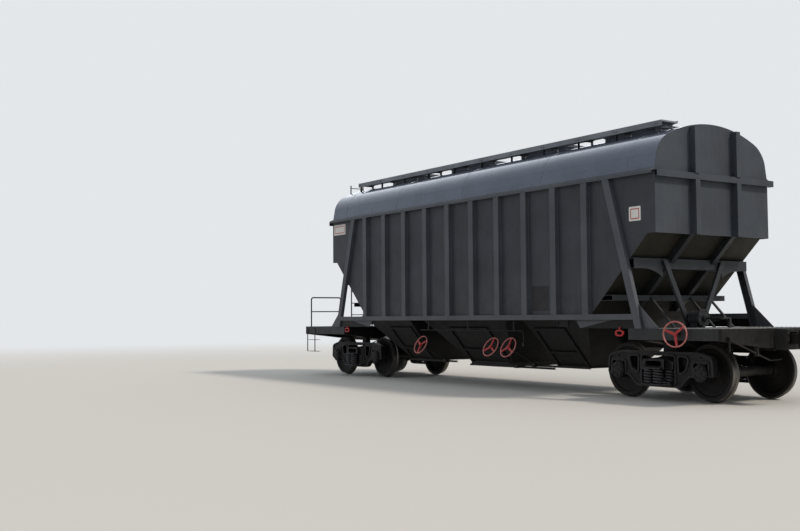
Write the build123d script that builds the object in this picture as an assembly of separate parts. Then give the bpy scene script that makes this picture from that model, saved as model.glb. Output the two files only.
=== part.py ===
from build123d import *
import os
from math import sqrt

# A covered hopper wagon for grain, on two cast two-axle bogies.
# X runs along the track (+X is the end with the parking brake), Y across, Z up.
# The origin is centred under the wagon, at the lowest point of the wheel flanges.
# All sizes are millimetres.
os.makedirs("parts", exist_ok=True)

# Wheels and axles
TREAD_RADIUS = 478.5
FLANGE_HEIGHT = 28
AXLE_Z = TREAD_RADIUS + FLANGE_HEIGHT
BACK_TO_BACK = 1440
RIM_WIDTH = 130
RIM_THICKNESS = 65
FLANGE_WIDTH = 33
WEB_THICKNESS = 24
HUB_RADIUS = 130
HUB_WIDTH = 185
AXLE_RADIUS = 84
WHEEL_SEAT_RADIUS = 96
JOURNAL_RADIUS = 65
JOURNAL_CLEARANCE = 6
JOURNAL_Y = 1018
JOURNAL_HALF = 92
WHEELBASE = 1850

# Bogie frames
FRAME_HALF_LENGTH = 1180
FRAME_HALF_WIDTH = 60
FRAME_TOP_Z = 852
FRAME_BOTTOM_Z = 240
FRAME_HOLE_Z = 758
FRAME_HOLE_RADIUS = 18
SEAT_Z = 300
JAW_CLEARANCE = 8
BOX_RADIUS = 142
BOX_REACH = 108
BOLSTER_END_Z = 557
BOLSTER_END_HEIGHT = 165
BOLSTER_HALF_WIDTH = 230
BOLSTER_OVERHANG = 172
BOLSTER_TOP_Z = 800
BOWL_RADIUS = 200
BOWL_FLOOR_Z = 830
PIVOT_RADIUS = 150
PIVOT_PLAY = 6
PIVOT_GAP = 1
SIDE_BEARER_Y = 762
SIDE_BEARER_GAP = 10
SPRING_RADIUS = 93
SPRING_PITCH = 210
SPRING_ROW = 165
SEAT_REACH = SPRING_ROW + SPRING_RADIUS + 6
SHOE_GAP = 12
SHOE_THICKNESS = 50

# Main lengths from the middle outwards, and the overall width
END_X = 5400
PLATFORM_LENGTH = 1360
COUPLER_REACH = 600
PIVOT_INSET = 1760
BEAM_END_X = END_X + PLATFORM_LENGTH
COUPLING_X = BEAM_END_X + COUPLER_REACH
PIVOT_X = BEAM_END_X - PIVOT_INSET
WALL_Y = 1500
PLATFORM_Y = WALL_Y + 50

# Heights of the body
FLOOR_Z = 1250
SILL_BOTTOM_Z = 1400
SILL_TOP_Z = 1500
EAVE_Z = 3930
ROOF_RISE = 910
CREST_Z = EAVE_Z + ROOF_RISE
END_BOTTOM_Z = 2870
SLOPE_TOP_Z = 3060

# Underframe
CENTRE_SILL_BOTTOM_Z = 880
CENTRE_SILL_HALF_WIDTH = 175
CENTRE_SILL_PLATE = 14
CENTRE_SILL_MOUTH = 110
BEAM_HEIGHT = 190
BEAM_WIDTH = 80
BEAM_PLATE = 12
DECK_THICKNESS = 8
BOLSTER_BOX_HALF = 170
COUPLER_Z = 1075
SHANK_HALF = 65
SHANK_HALF_HEIGHT = 85
LEVER_INNER_Y = 420

# Sheets and the pressed channels that stiffen them
SHEET = 8
POST_WIDTH = 150
POST_DEPTH = 80
POSTS_A_SIDE = 10
CHORD_HEIGHT = 50
CHORD_DEPTH = 85
DIAGONAL_TOP_INSET = 1095
DIAGONAL_FOOT_INSET = 365
END_POST_Y = 550
END_POST_WIDTH = 110
END_POST_DEPTH = 120
END_BELT_HEIGHT = 110
END_BELT_DEPTH = 100

# Roof arch: a crest arc, a tighter haunch arc and a short leaning foot
CREST_RADIUS = 2700
SHOULDER_INSET = 350
HAUNCH_INSET = 60
HAUNCH_RISE = 320

# Hoppers: outlet sizes, and how far each end wall leans out over its height
OUTLET_Z = 490
OUTLET_HALF_WIDTH = 700
MIDDLE_OUTLET_HALF_LENGTH = 675
OUTLET_SPACING = 1425
OUTER_OUTLET_LENGTH = 900
MIDDLE_WALL_RUN = 749
INNER_WALL_RUN = 154
HOPPER_WALL = 12
GATE_THICKNESS = 10
MIDDLE_GATE_Z = 425
OUTER_GATE_Z = 471
GUIDE_WIDTH = 40
GUIDE_THICKNESS = 10
GATE_GAP = 5

# Roof hatches and walkways
HATCH_COUNT = 4
HATCH_PITCH = 2500
HATCH_LENGTH = 1400
HATCH_HALF_WIDTH = 280
COAMING_HEIGHT = 110
COAMING_TOP_Z = CREST_Z + COAMING_HEIGHT
COAMING_WALL = 10
LID_OVERHANG = 30
LID_SHEET = 10
LID_SKIRT = 45
LID_GAP = 6
HINGE_Y = HATCH_HALF_WIDTH + 60
HINGE_DROP = 20
HINGE_RADIUS = 12
HINGE_INSET = 200
WALKWAY_Z = CREST_Z + 80
WALKWAY_INNER_Y = 430
WALKWAY_OUTER_Y = 850
WALKWAY_THICKNESS = 30
WALKWAY_REAR_INSET = 200
WALKWAY_FRONT_INSET = 410
BRACKET_COUNT = 11

# Handwheels: name, place along the wagon, turn of the spokes in degrees
HANDWHEEL_RADIUS = 205
HANDWHEEL_BAR = 13
GATE_WHEELS = (("rear", -1530, 180), ("middle", 950, 0), ("front", 1500, 0))
GATE_WHEEL_Z = 860
PARKING_WHEEL_INSET = 885
PARKING_WHEEL_Z = 1163
PARKING_WHEEL_TURN = 15


def block(x0, x1, y0, y1, z0, z1):
    """A rectangular block between two corners."""
    size = (x1 - x0, y1 - y0, z1 - z0)
    return Pos((x0 + x1) / 2, (y0 + y1) / 2, (z0 + z1) / 2) * Box(*size)


def outline(points):
    """A closed face from (u, v, corner radius) points."""
    corners = [(u, v) for u, v, radius in points]
    return make_face(FilletPolyline(*corners, radius=[radius for u, v, radius in points], close=True))


def side_plate(points, y0, y1):
    """A plate from (x, z, corner radius) points, from y0 to y1."""
    plane = Plane(origin=(0, y0, 0), x_dir=(1, 0, 0), z_dir=(0, -1, 0))
    return extrude(plane * outline(points), amount=y1 - y0, dir=(0, 1, 0))


def side_prism(points, y0, y1):
    """A plate with sharp corners from (x, z) points, from y0 to y1."""
    return side_plate([(x, z, 0) for x, z in points], y0, y1)


def cross_prism(points, x0, x1):
    """A plate from (y, z) points, from x0 to x1."""
    plane = Plane(origin=(x0, 0, 0), x_dir=(0, 1, 0), z_dir=(1, 0, 0))
    return extrude(plane * outline([(y, z, 0) for y, z in points]), amount=x1 - x0)


def plan_prism(points, z0, z1):
    """A plate from (x, y, corner radius) points, from z0 to z1."""
    return extrude(Pos(0, 0, z0) * outline(points), amount=z1 - z0)


def rod(start, end, radius):
    """A round bar between two points."""
    a = Vector(*start)
    b = Vector(*end)
    return extrude(Plane(origin=a, z_dir=b - a) * Circle(radius), amount=(b - a).length)


def pipe(points, radius, bend):
    """A pipe along straight runs joined by bends of one radius."""
    path = FilletPolyline(*points, radius=bend)
    first = Vector(*points[1]) - Vector(*points[0])
    return sweep(Plane(origin=points[0], z_dir=first) * Circle(radius), path=path)


def channel(start, end, width, depth, outward, sheet=SHEET):
    """A pressed channel between two points, open towards what it stiffens."""
    a = Vector(*start)
    b = Vector(*end)
    across = Vector(*outward).cross(b - a)
    plane = Plane(origin=a, x_dir=across, z_dir=b - a)
    half = width / 2
    inner = half - sheet
    section = [(-half, 0), (-half, depth), (half, depth), (half, 0),
               (inner, 0), (inner, depth - sheet), (-inner, depth - sheet), (-inner, 0)]
    face = plane * outline([(u, v, 0) for u, v in section])
    return extrude(face, amount=(b - a).length)


def flip_y(shape):
    """The same shape on the other side of the wagon."""
    return mirror(shape, about=Plane.XZ)


def flip_x(shape):
    """The same shape at the other end of the wagon."""
    return mirror(shape, about=Plane.YZ)


def both_sides(shape):
    return [shape, flip_y(shape)]


def both_ends(shape):
    return [shape, flip_x(shape)]


def four_corners(shape):
    return both_sides(shape) + both_sides(flip_x(shape))


def save(name, shapes):
    """Writes one named node from its separate pieces."""
    solids = []
    for shape in shapes if isinstance(shapes, list) else [shapes]:
        solids += list(shape.solids())
    export_step(Compound(children=solids), f"parts/{name}.step")


def slope_x(z):
    """Outer face of the end slope sheet, at 45 degrees under the end wall."""
    return END_X - (SLOPE_TOP_Z - z)


# Places that several pieces share
inner_end_x = END_X - SHEET
inner_wall_y = WALL_Y - SHEET
wall_foot_x = slope_x(SILL_BOTTOM_Z)
half_post = POST_WIDTH / 2
post_face_y = WALL_Y + POST_DEPTH
chord_bottom_z = EAVE_Z - CHORD_HEIGHT
deck_bottom_z = FLOOR_Z - DECK_THICKNESS
beam_bottom_z = FLOOR_Z - BEAM_HEIGHT
beam_inner_x = BEAM_END_X - BEAM_WIDTH
beam_inner_y = PLATFORM_Y - BEAM_WIDTH
platform_start_x = PIVOT_X - BOLSTER_BOX_HALF - 50


def side_walls():
    """One flat sheet a side, cut along the end slopes."""
    skirt_x = slope_x(END_BOTTOM_Z)
    half = [(inner_end_x, EAVE_Z), (inner_end_x, END_BOTTOM_Z), (skirt_x, END_BOTTOM_Z),
            (wall_foot_x, SILL_BOTTOM_Z)]
    wall = side_prism(half + [(-x, z) for x, z in reversed(half)], -WALL_Y, -inner_wall_y)
    save("right_side_wall", wall)
    save("left_side_wall", flip_y(wall))


def diagonal_x(z):
    """Centre of the corner post in the plane of the side, from the eave to the platform."""
    run = (chord_bottom_z - z) / (chord_bottom_z - FLOOR_Z)
    return END_X - DIAGONAL_TOP_INSET + (DIAGONAL_TOP_INSET - DIAGONAL_FOOT_INSET) * run


def corner_post():
    """The diagonal corner post with its foot gusset."""
    reach = 200
    low_z = FLOOR_Z - reach
    high_z = chord_bottom_z + reach
    post = channel((diagonal_x(low_z), -WALL_Y, low_z), (diagonal_x(high_z), -WALL_Y, high_z),
                   POST_WIDTH, POST_DEPTH, (0, -1, 0))
    post &= block(0, BEAM_END_X, -post_face_y, -WALL_Y, FLOOR_Z, chord_bottom_z)
    gusset_top_z = FLOOR_Z + 430
    gusset_length = 350
    edge = half_post - SHEET / 2
    gusset = side_prism([(diagonal_x(gusset_top_z) + edge, gusset_top_z),
                         (diagonal_x(FLOOR_Z) + edge + gusset_length, FLOOR_Z),
                         (diagonal_x(FLOOR_Z) + edge, FLOOR_Z)], -WALL_Y - 3 * SHEET, -WALL_Y - 2 * SHEET)
    return post + gusset


def side_posts():
    """Upright pressed channels between sill and chord, and the two corner posts."""
    last_x = slope_x(SILL_TOP_Z) - half_post - 3
    posts = both_ends(corner_post())
    for number in range(POSTS_A_SIDE):
        x = last_x * (2 * number / (POSTS_A_SIDE - 1) - 1)
        posts.append(channel((x, -WALL_Y, SILL_TOP_Z), (x, -WALL_Y, chord_bottom_z),
                             POST_WIDTH, POST_DEPTH, (0, -1, 0)))
    save("right_side_posts", posts)
    save("left_side_posts", [flip_y(post) for post in posts])


def roof_arch(inset, x0, x1):
    """The solid arch under the roof's surface from x0 to x1, moved in by a thickness."""
    centre_z = CREST_Z - CREST_RADIUS
    radius = CREST_RADIUS - inset
    shoulder_y = WALL_Y - SHOULDER_INSET
    shoulder_z = sqrt(CREST_RADIUS**2 - shoulder_y**2)
    scale = radius / CREST_RADIUS
    shoulder = (shoulder_y * scale, centre_z + shoulder_z * scale)
    haunch = (WALL_Y - HAUNCH_INSET - inset, EAVE_Z + HAUNCH_RISE)
    foot = (WALL_Y - inset, EAVE_Z)
    right = TangentArc(shoulder, haunch, tangent=(shoulder_z, -shoulder_y))
    left = mirror(right, about=Plane.YZ)
    crest = ThreePointArc(shoulder, (0, CREST_Z - inset), (-shoulder[0], shoulder[1]))
    lines = [Line(haunch, foot), Line((-haunch[0], haunch[1]), (-foot[0], foot[1])),
             Line(foot, (-foot[0], foot[1]))]
    face = make_face(Wire([e for curve in [right, left, crest] + lines for e in curve.edges()]))
    plane = Plane(origin=(x0, 0, 0), x_dir=(0, 1, 0), z_dir=(1, 0, 0))
    return extrude(plane * face, amount=x1 - x0)


def roof_z(y):
    """Height of the crest arc above a place across the wagon."""
    return CREST_Z - CREST_RADIUS + sqrt(CREST_RADIUS**2 - y**2)


def top_chords():
    """Eave angles that tie the post heads and carry the foot of the roof."""
    lap = 30
    rise = 60
    section = [(-WALL_Y, chord_bottom_z), (-WALL_Y - CHORD_DEPTH, chord_bottom_z),
               (-WALL_Y - CHORD_DEPTH, EAVE_Z), (-WALL_Y + lap, EAVE_Z + rise),
               (-WALL_Y + lap, EAVE_Z), (-WALL_Y, EAVE_Z)]
    chord = cross_prism(section, -END_X, END_X)
    inner_y = -WALL_Y - SHEET
    outer_y = -WALL_Y - CHORD_DEPTH + SHEET
    chord -= cross_prism([(inner_y, chord_bottom_z - 1), (outer_y, chord_bottom_z - 1),
                          (outer_y, EAVE_Z - SHEET), (inner_y, EAVE_Z)], -END_X - 1, END_X + 1)
    chord -= roof_arch(0, -END_X, END_X)
    save("top_chords", both_sides(chord))


def label_holder(x):
    """A small open frame under the sill that holds a paper label."""
    width = 290
    height = 110
    rim = 14
    y0 = -WALL_Y - 30
    holder = block(x, x + width, y0, y0 + 20, SILL_BOTTOM_Z - height - 15, SILL_BOTTOM_Z)
    holder -= block(x + rim, x + width - rim, y0 - 1, y0 + 14, SILL_BOTTOM_Z - height - 15 + rim,
                    SILL_BOTTOM_Z - 15 - rim)
    return holder


def side_sills():
    """Side sill channels, open below, with the deep plates over the bogies."""
    web = 10
    foot_x = END_X - DIAGONAL_FOOT_INSET
    plate_top_x = foot_x - 1585
    plate_foot_x = plate_top_x + 150
    sill = block(-foot_x, foot_x, -post_face_y, -WALL_Y, SILL_BOTTOM_Z, SILL_TOP_Z)
    sill -= block(-foot_x, foot_x, -post_face_y + web, -WALL_Y - web, SILL_BOTTOM_Z, SILL_TOP_Z - web)
    plate_top_z = SILL_TOP_Z - web
    plate = side_prism([(plate_top_x, plate_top_z), (plate_top_x, SILL_BOTTOM_Z), (plate_foot_x, FLOOR_Z),
                        (foot_x, FLOOR_Z), (foot_x, plate_top_z)], -PLATFORM_Y, -PLATFORM_Y + web)
    sill += both_ends(plate)
    reach = 300
    lean = (DIAGONAL_TOP_INSET - DIAGONAL_FOOT_INSET) / (chord_bottom_z - FLOOR_Z)
    half_run = half_post * sqrt(1 + lean**2)
    for end in (-1, 1):
        low = (end * diagonal_x(FLOOR_Z - reach), 0, FLOOR_Z - reach)
        high = (end * diagonal_x(SILL_TOP_Z + reach), 0, SILL_TOP_Z + reach)
        past = side_prism([(low[0] - end * half_run, low[2]), (low[0] + end * PLATFORM_LENGTH, low[2]),
                           (high[0] + end * PLATFORM_LENGTH, high[2]), (high[0] - end * half_run, high[2])],
                          -post_face_y - 1, -WALL_Y + 1)
        sill -= past
    sill += label_holder(PIVOT_X - 2030)
    save("side_sills", both_sides(sill))


def end_walls():
    """Flat end walls with the arched top."""
    wall = roof_arch(0, inner_end_x, END_X)
    wall += block(inner_end_x, END_X, -WALL_Y, WALL_Y, END_BOTTOM_Z, EAVE_Z)
    save("front_end_wall", wall)
    save("rear_end_wall", flip_x(wall))


def end_frames():
    """Posts above and below the eave belt of each end wall."""
    belt_top_z = EAVE_Z
    belt_z = belt_top_z - END_BELT_HEIGHT
    belt_reach = WALL_Y + 50
    belt_middle_z = belt_z + END_BELT_HEIGHT / 2
    head_z = roof_z(END_POST_Y + END_POST_WIDTH / 2) - 20
    frame = channel((END_X, -belt_reach, belt_middle_z), (END_X, belt_reach, belt_middle_z),
                    END_BELT_HEIGHT, END_BELT_DEPTH, (1, 0, 0))
    for y in (-END_POST_Y, END_POST_Y):
        for low_z, high_z in ((END_BOTTOM_Z, belt_z), (belt_top_z, head_z)):
            frame += channel((END_X, y, low_z), (END_X, y, high_z), END_POST_WIDTH, END_POST_DEPTH, (1, 0, 0))
    save("end_frames", both_ends(frame))


def slope_sheets():
    """Flat sheets at 45 degrees between the side walls."""
    drop = SHEET * sqrt(2)
    sheet = side_prism([(inner_end_x, SLOPE_TOP_Z - SHEET), (wall_foot_x, SILL_BOTTOM_Z),
                        (wall_foot_x - drop, SILL_BOTTOM_Z), (inner_end_x, SLOPE_TOP_Z - SHEET + drop)],
                       -inner_wall_y, inner_wall_y)
    save("front_slope_sheet", sheet)
    save("rear_slope_sheet", flip_x(sheet))


# Belts under the slope: height of the bottom flange, height and depth of the belt
SLOPE_BELTS = ((2290, 180, 270), (1740, 100, 300))
STRUT_WIDTH = 95
STRUT_DEPTH = 50
STRUT_HEAD_Y = 770
STRUT_FOOT_Y = 148
TIE_Y = (530, 1060)
TIE_WIDTH = 45


def slope_belt(z, height, depth):
    """A level belt between the corner posts, open towards the slope sheet."""
    plate = 10
    x0 = slope_x(z)
    top_z = z + height
    belt = side_prism([(x0, z), (x0 + depth, z), (x0 + depth, top_z), (x0 + height, top_z)], -WALL_Y, WALL_Y)
    belt -= side_prism([(x0 - 1, z + plate), (x0 + depth - plate, z + plate),
                        (x0 + depth - plate, top_z - plate), (x0 + height - 1, top_z - plate)],
                       -WALL_Y - 1, WALL_Y + 1)
    keep = side_prism([(x0, z), (x0 + depth + 1, z), (x0 + depth + 1, top_z), (x0 + height, top_z)],
                      -WALL_Y - 1, WALL_Y + 1)
    return belt & keep


def strut_gusset(x):
    """The curved gusset between a strut head and the upper belt."""
    belt_z = SLOPE_BELTS[0][0] + 5
    y0 = STRUT_HEAD_Y + STRUT_WIDTH / 2 - 30
    height = 150
    length = 560
    low = (y0, belt_z - height)
    far = (y0 + length, belt_z)
    middle = (y0 + length * 0.36, belt_z - height * 0.36)
    edges = [Line((y0, belt_z), low), ThreePointArc(low, middle, far), Line(far, (y0, belt_z))]
    plane = Plane(origin=(x - 10, 0, 0), x_dir=(0, 1, 0), z_dir=(1, 0, 0))
    return extrude(plane * make_face(Wire([e for curve in edges for e in curve.edges()])), amount=10)


def belt_face_x(belt):
    """The outer face of a belt's web."""
    z, height, depth = belt
    return slope_x(z) + depth


def slope_frames():
    """Stiffeners down the slope, two belts across it and the gussets at the strut heads."""
    foot_z = SLOPE_BELTS[1][0] - 190
    past = 200
    stiff_top_x = inner_end_x + past
    stiff_top_z = SLOPE_TOP_Z + past - SHEET
    frame = both_sides(strut_gusset(belt_face_x(SLOPE_BELTS[0])))
    belts = [slope_belt(z, height, belt_depth) for z, height, belt_depth in SLOPE_BELTS]
    for y in (-END_POST_Y, END_POST_Y):
        stiff = channel((slope_x(foot_z), y, foot_z), (stiff_top_x, y, stiff_top_z), END_POST_WIDTH,
                        END_POST_DEPTH, (1, 0, -1))
        belts.append(stiff & block(0, inner_end_x, -WALL_Y, WALL_Y, foot_z, SLOPE_TOP_Z))
    save("slope_frames", both_ends(belts[0] + belts[1:] + frame))


def slope_struts():
    """V struts from the upper belt to the centre sill, and slanting ties from the lower belt to the deck."""
    strut_x = belt_face_x(SLOPE_BELTS[0])
    head_z = SLOPE_BELTS[0][0] + 150
    slant = (STRUT_HEAD_Y - STRUT_FOOT_Y) / (head_z - FLOOR_Z)
    reach = 100
    low = (strut_x, STRUT_FOOT_Y - slant * reach, FLOOR_Z - reach)
    high = (strut_x, STRUT_HEAD_Y + slant * reach, head_z + reach)
    strut = channel(low, high, STRUT_WIDTH, STRUT_DEPTH, (1, 0, 0))
    struts = four_corners(strut & block(0, BEAM_END_X, 0, WALL_Y, FLOOR_Z, head_z))
    tie_x = belt_face_x(SLOPE_BELTS[1])
    head_z = SLOPE_BELTS[1][0] + 70
    foot_x = tie_x + head_z - FLOOR_Z
    for y in TIE_Y:
        tie = side_prism([(tie_x, head_z - TIE_WIDTH), (tie_x, head_z), (foot_x, FLOOR_Z),
                          (foot_x - TIE_WIDTH, FLOOR_Z)], y - TIE_WIDTH / 2, y + TIE_WIDTH / 2)
        struts += four_corners(tie)
    save("slope_struts", struts)


hatch_centres = [(n - (HATCH_COUNT - 1) / 2) * HATCH_PITCH for n in range(HATCH_COUNT)]
hinge_z = COAMING_TOP_Z - HINGE_DROP


def hinge_lug_x(x):
    """The two places along a hatch at x where its hinge lugs stand."""
    return (x - HATCH_LENGTH / 2 + HINGE_INSET, x + HATCH_LENGTH / 2 - HINGE_INSET)


def roof():
    """Side sheets of the arch, the crest panels between the hatches, and the hatch coamings."""
    shell = roof_arch(0, -inner_end_x, inner_end_x) - roof_arch(SHEET, -inner_end_x - 1, inner_end_x + 1)
    right = shell & block(-END_X, END_X, -WALL_Y, -HATCH_HALF_WIDTH, EAVE_Z - 1, CREST_Z)
    save("right_roof_sheet", right)
    save("left_roof_sheet", flip_y(right))
    crest = shell & block(-END_X, END_X, -HATCH_HALF_WIDTH, HATCH_HALF_WIDTH, EAVE_Z, CREST_Z + 1)
    foot_z = roof_z(HATCH_HALF_WIDTH) - 30
    coamings = []
    for x in hatch_centres:
        x0 = x - HATCH_LENGTH / 2
        x1 = x + HATCH_LENGTH / 2
        crest -= block(x0, x1, -HATCH_HALF_WIDTH, HATCH_HALF_WIDTH, EAVE_Z, CREST_Z + 1)
        coaming = block(x0, x1, -HATCH_HALF_WIDTH, HATCH_HALF_WIDTH, foot_z, COAMING_TOP_Z)
        coaming -= block(x0 + COAMING_WALL, x1 - COAMING_WALL, -HATCH_HALF_WIDTH + COAMING_WALL,
                         HATCH_HALF_WIDTH - COAMING_WALL, foot_z - 1, COAMING_TOP_Z + 1)
        for lug_x in hinge_lug_x(x):
            coaming += block(lug_x - 20, lug_x + 20, HATCH_HALF_WIDTH - COAMING_WALL / 2, HINGE_Y + 20,
                             COAMING_TOP_Z - 70, COAMING_TOP_Z - 2)
            coaming -= rod((lug_x - 30, HINGE_Y, hinge_z), (lug_x + 30, HINGE_Y, hinge_z), HINGE_RADIUS + 1)
        coamings.append(coaming)
    save("roof_crest_panels", crest)
    save("hatch_coamings", coamings)


def hatch_lid(x):
    """A pressed lid with cross ribs, hinged along its +Y side, with two latch handles."""
    x0 = x - HATCH_LENGTH / 2 - LID_OVERHANG
    x1 = x + HATCH_LENGTH / 2 + LID_OVERHANG
    half = HATCH_HALF_WIDTH + LID_OVERHANG / 2
    lid_z = COAMING_TOP_Z + LID_GAP
    top_z = lid_z + LID_SHEET
    lid = block(x0, x1, -half, half, lid_z - LID_SKIRT, top_z)
    inner = half - LID_SHEET
    lid -= block(x0 + LID_SHEET, x1 - LID_SHEET, -inner, inner, lid_z - LID_SKIRT - 1, lid_z)
    rib_length = half - 60
    for share in (-0.3, 0, 0.3):
        rib_x = x + share * HATCH_LENGTH
        lid += block(rib_x - 35, rib_x + 35, -rib_length, rib_length, top_z - 1, top_z + 12)
    for lug_x in hinge_lug_x(x):
        lid -= block(lug_x - 60, lug_x + 60, inner - 1, half + 1, lid_z - LID_SKIRT, lid_z)
        for ear_x in (lug_x - 36, lug_x + 36):
            lid += block(ear_x - 10, ear_x + 10, half - 40, HINGE_Y + 18, lid_z, top_z + 6)
            lid += block(ear_x - 10, ear_x + 10, HINGE_Y - 18, HINGE_Y + 18, hinge_z - 18, top_z + 6)
        lid += rod((lug_x - 46, HINGE_Y, hinge_z), (lug_x + 46, HINGE_Y, hinge_z), HINGE_RADIUS)
        lid += block(lug_x - 18, lug_x + 18, -half - 22, -half + 8, lid_z - LID_SKIRT, top_z + 8)
        lid += rod((lug_x - 70, -half - 14, lid_z - 22), (lug_x + 70, -half - 14, lid_z - 22), 11)
    return lid


def roof_walkways():
    """Two running boards along the roof, on cut-out brackets that stand on the arch."""
    rear_x = -END_X + WALKWAY_REAR_INSET
    front_x = END_X - WALKWAY_FRONT_INSET
    fascia = 100
    edge = 8
    leg_width = 60
    board_z = WALKWAY_Z - WALKWAY_THICKNESS
    board_y = -WALKWAY_OUTER_Y + edge
    foot_z = roof_z(WALKWAY_OUTER_Y) - 40
    deck = block(rear_x, front_x, board_y, -WALKWAY_INNER_Y, board_z, WALKWAY_Z)
    deck += block(rear_x, front_x, -WALKWAY_OUTER_Y, board_y, WALKWAY_Z - fascia, WALKWAY_Z)
    deck += block(rear_x, front_x, -WALKWAY_INNER_Y, -WALKWAY_INNER_Y + edge, board_z, WALKWAY_Z + 15)
    first_x = rear_x + 70
    pitch = (front_x - 120 - first_x) / (BRACKET_COUNT - 1)
    for number in range(BRACKET_COUNT):
        x = first_x + number * pitch
        leg = block(x, x + edge, board_y, -WALKWAY_INNER_Y, foot_z, board_z)
        leg -= block(x - 1, x + edge + 1, -WALKWAY_OUTER_Y + leg_width, -WALKWAY_INNER_Y - leg_width,
                     EAVE_Z, board_z - 45)
        leg -= roof_arch(0, x - 1, x + edge + 1)
        deck += leg
        deck += block(x, x + 50, board_y, -WALKWAY_INNER_Y, board_z - edge, board_z)
    save("roof_walkways", both_sides(deck))


def centre_sill():
    """Hollow centre sill from end to end, with the two pivots under it."""
    plate = CENTRE_SILL_PLATE
    half = CENTRE_SILL_HALF_WIDTH
    mouth = CENTRE_SILL_MOUTH
    bottom = CENTRE_SILL_BOTTOM_Z
    sill = block(-beam_inner_x, beam_inner_x, -half, half, bottom, deck_bottom_z)
    sill -= block(-beam_inner_x, beam_inner_x, -half + plate, half - plate, bottom + plate,
                  deck_bottom_z - plate)
    sill -= block(-beam_inner_x, beam_inner_x, -mouth, mouth, bottom - 1, bottom + plate + 1)
    pivot_bottom = BOWL_FLOOR_Z + PIVOT_GAP
    pivot_top = bottom + plate + 10
    for x in (-PIVOT_X, PIVOT_X):
        sill += Pos(x, 0, (pivot_bottom + pivot_top) / 2) * Cylinder(PIVOT_RADIUS, pivot_top - pivot_bottom)
    save("centre_sill", sill)


def body_bolsters():
    """Box beams over the bogies, tapering up from the centre sill to the sides."""
    x0 = PIVOT_X - BOLSTER_BOX_HALF
    x1 = PIVOT_X + BOLSTER_BOX_HALF
    half = cross_prism([(CENTRE_SILL_HALF_WIDTH, CENTRE_SILL_BOTTOM_Z), (beam_inner_y, beam_bottom_z),
                        (beam_inner_y, deck_bottom_z), (CENTRE_SILL_HALF_WIDTH, deck_bottom_z)], x0, x1)
    bearer = block(PIVOT_X - 90, PIVOT_X + 90, SIDE_BEARER_Y - 60, SIDE_BEARER_Y + 60,
                   BOWL_FLOOR_Z + PIVOT_GAP + SIDE_BEARER_GAP, CENTRE_SILL_BOTTOM_Z + 130)
    save("body_bolsters", four_corners(half + bearer))


def striker():
    """The casting on the end beam that takes the coupler's shank, with its centring beam."""
    reach = 185
    half = 235
    top_z = COUPLER_Z + 160
    bottom_z = COUPLER_Z - 175
    body = plan_prism([(BEAM_END_X - 6, -half, 0), (BEAM_END_X + reach, -half + 60, 25),
                       (BEAM_END_X + reach, half - 60, 25), (BEAM_END_X - 6, half, 0)], bottom_z, top_z)
    body -= block(BEAM_END_X - 10, BEAM_END_X + reach + 1, -SHANK_HALF - 40, SHANK_HALF + 40,
                  COUPLER_Z - SHANK_HALF_HEIGHT, COUPLER_Z + SHANK_HALF_HEIGHT + 25)
    return body


def end_beams():
    """Hollow end beams, deeper in the middle, with the striker castings."""
    middle_y = 500
    drop = 120
    plate = BEAM_PLATE
    low_z = deck_bottom_z - BEAM_HEIGHT
    beam = cross_prism([(-PLATFORM_Y, low_z), (-middle_y, low_z - drop), (middle_y, low_z - drop),
                        (PLATFORM_Y, low_z), (PLATFORM_Y, FLOOR_Z), (-PLATFORM_Y, FLOOR_Z)],
                       beam_inner_x, BEAM_END_X)
    beam -= block(beam_inner_x - 1, BEAM_END_X - plate, -PLATFORM_Y + plate, PLATFORM_Y - plate,
                  low_z - drop - 10, FLOOR_Z - plate)
    beam += block(beam_inner_x, BEAM_END_X - plate / 2, -CENTRE_SILL_HALF_WIDTH, CENTRE_SILL_HALF_WIDTH,
                  CENTRE_SILL_BOTTOM_Z + 60, FLOOR_Z - plate / 2)
    beam -= block(beam_inner_x - 1, BEAM_END_X + 1, -SHANK_HALF - 30, SHANK_HALF + 30,
                  COUPLER_Z - SHANK_HALF_HEIGHT, COUPLER_Z + SHANK_HALF_HEIGHT + 15)
    save("end_beams", both_ends(beam + striker()))


def platform_beams():
    """Side channels of the platforms, open inwards, boxed where the bolsters meet them."""
    web = 10
    beam = block(platform_start_x, beam_inner_x, -PLATFORM_Y, -beam_inner_y, beam_bottom_z, FLOOR_Z)
    beam -= block(platform_start_x - 1, beam_inner_x + 1, -PLATFORM_Y + web, -beam_inner_y + 1,
                  beam_bottom_z + web, FLOOR_Z - web)
    beam += block(PIVOT_X - BOLSTER_BOX_HALF, PIVOT_X + BOLSTER_BOX_HALF, -PLATFORM_Y + web / 2,
                  -beam_inner_y, beam_bottom_z, FLOOR_Z)
    save("platform_beams", four_corners(beam))


def platform_decks():
    """Deck plates of the two end platforms."""
    deck = block(platform_start_x, beam_inner_x, -beam_inner_y, beam_inner_y, deck_bottom_z, FLOOR_Z)
    save("platform_decks", both_ends(deck))


# Hopper mouths along X: both ends of each outlet, and of its top at the sill
outer_inner_x = MIDDLE_OUTLET_HALF_LENGTH + OUTLET_SPACING
outer_outer_x = outer_inner_x + OUTER_OUTLET_LENGTH
middle_top_x = MIDDLE_OUTLET_HALF_LENGTH + MIDDLE_WALL_RUN
outer_top_x = outer_inner_x - INNER_WALL_RUN
hopper_drop = SILL_BOTTOM_Z - OUTLET_Z
centre_clearance = block(-beam_inner_x, beam_inner_x, -CENTRE_SILL_HALF_WIDTH, CENTRE_SILL_HALF_WIDTH,
                         CENTRE_SILL_BOTTOM_Z, deck_bottom_z)


def funnel(outlet, top, inset):
    """The solid inside of a four-sided funnel between two (x0, x1, half width, z) mouths."""
    faces = []
    for x0, x1, half, z in (outlet, top):
        faces.append(Pos((x0 + x1) / 2, 0, z) * Rectangle(x1 - x0 - 2 * inset, 2 * half - 2 * inset))
    return loft(faces, ruled=True)


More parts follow.
